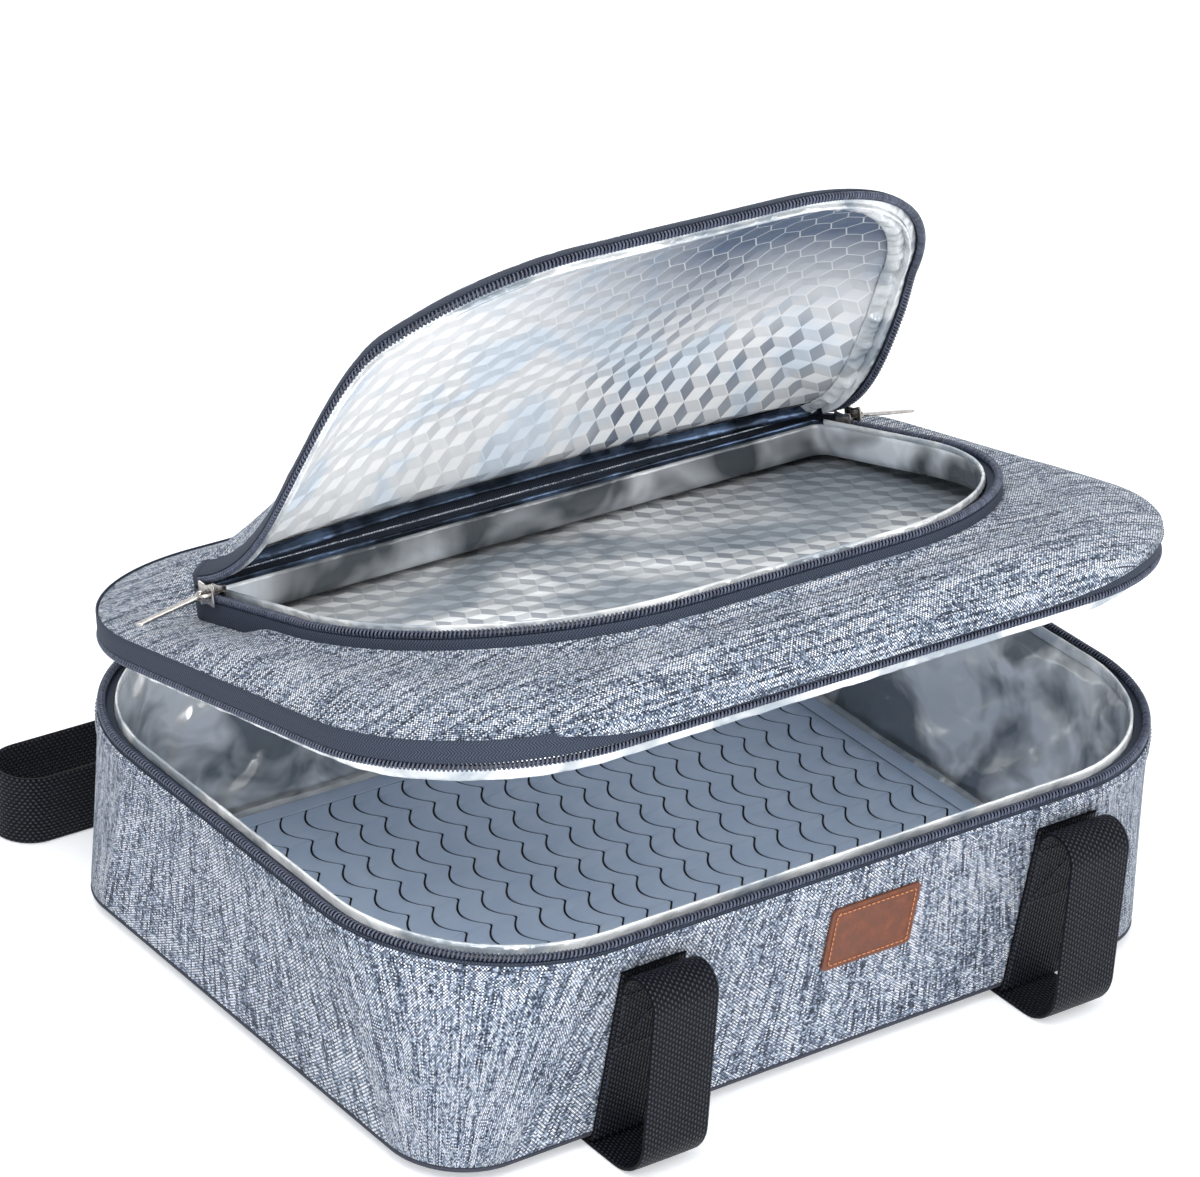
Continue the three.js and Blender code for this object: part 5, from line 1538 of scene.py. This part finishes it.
# a slider's plate: pinched at its waist and crowned
def sliderPlate(depthAt, tall, length, waist, rows=22):
    along = np.linspace(-1, 1, rows)
    grid = []
    for share in along:
        pinch = waist + (1 - waist) * abs(share) ** 1.6
        end = math.sqrt(max(1 - abs(share) ** 8, 0))
        reach = tall * pinch * (0.75 + 0.25 * end)
        ring = []
        for turn in np.linspace(0, 2 * math.pi, 24, endpoint=False):
            c, s = math.cos(turn), math.sin(turn)
            up = abs(s) ** 0.5 * (reach if s > 0 else -reach)
            bulge = 0.5 + 0.5 * math.copysign(abs(c) ** 0.4, c) * (0.55 + 0.45 * end)
            out = depthAt[0] + (depthAt[1] - depthAt[0]) * bulge
            ring.append((out, share * length / 2, up))
        grid.append(ring)
    grid = np.array(grid)
    return capRows(skin(grid, (False, True)), rows, 24)


# a slider in its own frame: out of the bag, along the zip, up
def sliderParts():
    look = sliderLook
    reach = look["face"] + look["depth"]
    outer = sliderPlate((look["face"], reach), look["tall"], look["length"], look["waist"])
    inner = sliderPlate((-4.6, -3.6), 3.6, look["length"], look["waist"])
    neck = sliderPlate((-3.9, look["face"] + 0.4), 0.5, look["length"] * 0.5, 1.0, 10)
    loop = []
    for share in np.linspace(0, math.pi, 17):
        middle = np.array([reach - 0.4 + 4.2 * math.sin(share), 3.6 * math.cos(share), 0])
        way = np.array([4.2 * math.cos(share), -3.6 * math.sin(share), 0])
        side = np.cross(way / np.linalg.norm(way), [0, 0, 1.0])
        loop.append([middle + 0.65 * (math.cos(a) * side + 1.6 * math.sin(a) * np.array([0, 0, 1.0]))
                     for a in np.linspace(0, 2 * math.pi, 10, endpoint=False)])
    return [outer, inner, neck, capRows(skin(np.array(loop), (False, True)), 17, 10)]


# a long pull that hangs from its eye, wider at the eye and rounded at the tip
def pullParts():
    look = sliderLook
    ring = []
    for share in np.linspace(0, 1, 40):
        down = 2.0 + share * (look["pull"] - 2.4)
        widen = 0.5 + 0.5 * math.cos(math.pi * min(share * 1.4, 1))
        wide = look["pullNarrow"] + (look["pullWide"] - look["pullNarrow"]) * widen
        wide *= math.sqrt(max(1 - max((share - 0.93) / 0.07, 0) ** 2, 0.02)) * (0.55 + 0.45 * min(share / 0.06, 1))
        thick = look["pullThick"] * (1 - 0.25 * share)
        ring.append([(math.copysign(abs(math.cos(a)) ** 0.45, math.cos(a)) * thick / 2,
                      math.copysign(abs(math.sin(a)) ** 0.6, math.sin(a)) * wide / 2, -down)
                     for a in np.linspace(0, 2 * math.pi, 20, endpoint=False)])
    bar = capRows(skin(np.array(ring), (False, True)), 40, 20)
    eye = []
    for turn in np.linspace(0, 2 * math.pi, 24, endpoint=False):
        middle = np.array([math.cos(turn) * look["eye"], 0, math.sin(turn) * look["eye"]])
        away = middle / look["eye"]
        eye.append([middle + 0.5 * math.cos(a) * away + 1.5 * math.sin(a) * np.array([0, 1.0, 0])
                    for a in np.linspace(0, 2 * math.pi, 12, endpoint=False)])
    return [bar, skin(np.array(eye), (True, True))]


pinReach = 0.3 + 0.8 + 1.2 + 2.0 + 0.3          # from the zip to the pin, as in the solids


# swings a pull out of the hang, about its pin
def turnedPull(parts, angle):
    for part in parts:
        x, y, z = np.moveaxis(part["points"], -1, 0)
        part["points"] = np.stack([x * math.cos(angle) - z * math.sin(angle) + pinReach, y,
                                   x * math.sin(angle) + z * math.cos(angle)], -1)
    return parts


def placed(parts, place):
    for part in parts:
        part["points"] = place(part["points"])
    return parts


def makeSliders():
    # a top pull dips from its pin until its tip lies on the lid
    drop = zipLine["tapeEnd"] + make["gap"] - lid["bulge"] - 1.5 - 1.5
    dip = math.asin(drop / sliderLook["pull"])
    for side, word in ((-1, "Left"), (1, "Right")):
        def onTop(points, side=side):
            x, y, z = np.moveaxis(points, -1, 0)
            return inOpening(np.stack([side * (opening["width"] / 2 + x), -sliderLook["topPlace"] + side * y, z], -1))

        def onMain(points, side=side):
            x, y, z = np.moveaxis(points, -1, 0)
            angle = math.pi / 2 - side * radians(sliderLook["mainTurn"])
            out = rimShape["back"] + x
            cornerX = side * (rimShape["width"] / 2 - rimShape["back"])
            cornerY = rimShape["depth"] / 2 - rimShape["back"]
            return inTub(np.stack([cornerX + out * math.cos(angle) - y * math.sin(angle),
                                   cornerY + out * math.sin(angle) + y * math.cos(angle), z + tub["height"]], -1))

        for kind, place, angle in (("top", onTop, math.pi / 2 - dip), ("main", onMain, 0)):
            for part, parts in (("Slider", sliderParts()), ("Pull", turnedPull(pullParts(), angle))):
                node = "%s_%s_%s" % (kind, word.lower(), part.lower())
                addPiece(kind + part + word, placed(parts, place), gunmetal, node, [node], 40)


# the boards are the only solids that no piece replaces
def dressSolids():
    for node in nodes.values():
        if node.hide_render:
            continue
        for index in range(len(node.data.materials)):
            node.data.materials[index] = boardFinish
        if not node.data.materials:
            node.data.materials.append(boardFinish)


makeTub()
print("tub made")
makeStrips()
makeFrontHandle()
makeBackHandle()
print("webbing made")
makePatch()
makeMat()
print("patch and mat made")
makeLidCloth()
makeLidFoil()
makeLidZip()
makeLidFloor()
makeCollar()
print("lid made")
makeFlap()
print("flap made")
makeHingeStrip()
makeSliders()
dressSolids()
print("solids dressed")


studio = {"floor": (236, 239, 243), "glow": 0.35, "sky": 0.7, "key": 23.0, "fill": 10.0, "front": 17.0,
          "low": (0.8, 0.84, 0.9, 1), "high": (1, 1, 1, 1)}


def makeFloor():
    size = 12.0
    mesh = bpy.data.meshes.new("studioFloor")
    corners = [(-size, -size), (size, -size), (size, size), (-size, size)]
    mesh.from_pydata([(x, y, -0.0002) for x, y in corners], [], [(0, 1, 2, 3)])
    floor = bpy.data.objects.new("studioFloor", mesh)
    bpy.context.scene.collection.objects.link(floor)
    material = bpy.data.materials.new("paleFloor")
    material.use_nodes = True
    tree = material.node_tree
    tree.nodes.clear()
    paper = addNode(tree, "BsdfDiffuse", {"Color": linear(studio["floor"])})
    seen = calc(tree, "MULTIPLY", backdropRays(tree), studio["glow"])
    glow = addNode(tree, "Emission", {"Color": (1, 1, 1, 1), "Strength": seen})
    both = addNode(tree, "AddShader", {0: paper.outputs[0], 1: glow.outputs[0]})
    addNode(tree, "OutputMaterial", {"Surface": both.outputs[0]})
    mesh.materials.append(material)


def makeLight(name, place, aim, size, power, sizeY=None):
    lamp = bpy.data.lights.new(name, "AREA")
    lamp.shape = "RECTANGLE"
    lamp.size = size
    lamp.size_y = sizeY or size
    lamp.energy = power
    light = bpy.data.objects.new(name, lamp)
    light.location = place
    light.rotation_euler = (Vector(aim) - Vector(place)).to_track_quat("-Z", "Y").to_euler()
    bpy.context.scene.collection.objects.link(light)


def makeWorld():
    world = bpy.data.worlds.new("studio")
    bpy.context.scene.world = world
    world.use_nodes = True
    tree = world.node_tree
    tree.nodes.clear()
    way = addNode(tree, "SeparateXYZ", {0: addNode(tree, "TexCoord").outputs["Generated"]}).outputs
    sky = ramp(tree, calc(tree, "MULTIPLY_ADD", way[2], 0.5, 0.5),
               [(0.5, studio["low"]), (0.75, studio["high"])])
    light = addNode(tree, "Background", {"Color": sky, "Strength": studio["sky"]})
    white = addNode(tree, "Background", {"Color": (1, 1, 1, 1), "Strength": 1.0})
    both = addNode(tree, "MixShader", {0: backdropRays(tree), 1: light.outputs[0], 2: white.outputs[0]})
    addNode(tree, "OutputWorld", {"Surface": both.outputs[0]})


# the photo's camera: its place, its axes and its lens
cameraFit = {"place": (-1.1576565, -1.42531214, 1.10142852), "right": (0.79943181, -0.59759054, 0.0615981),
             "up": (0.23124647, 0.4007333, 0.88653138), "forward": (0.55446718, 0.69447704, -0.45854965),
             "lens": 150, "sensor": 36}


def makeCamera():
    right, up, forward = (Vector(cameraFit[way]) for way in ("right", "up", "forward"))
    lens = bpy.data.cameras.new("camera")
    lens.lens = cameraFit["lens"]
    lens.sensor_width = cameraFit["sensor"]
    lens.clip_end = 50
    camera = bpy.data.objects.new("camera", lens)
    turn = Matrix((right, up, -forward)).transposed().to_4x4()
    camera.matrix_world = Matrix.Translation(cameraFit["place"]) @ turn
    bpy.context.scene.collection.objects.link(camera)
    bpy.context.scene.camera = camera


makeFloor()
makeWorld()
makeLight("keySoftbox", (-0.9, -0.7, 1.7), (0, 0, 0.12), 1.3, studio["key"])
makeLight("fillSoftbox", (1.5, -1.2, 1.0), (0, 0, 0.12), 1.0, studio["fill"])
makeLight("frontSoftbox", (-0.75, -1.55, 0.3), (0, -0.05, 0.16), 1.5, studio["front"], sizeY=0.5)
makeLight("backSoftbox", (0.3, 1.6, 1.3), (0, 0, 0.12), 1.0, studio["fill"])
makeCamera()
bpy.context.scene.view_settings.view_transform = "Standard"
print("studio set")
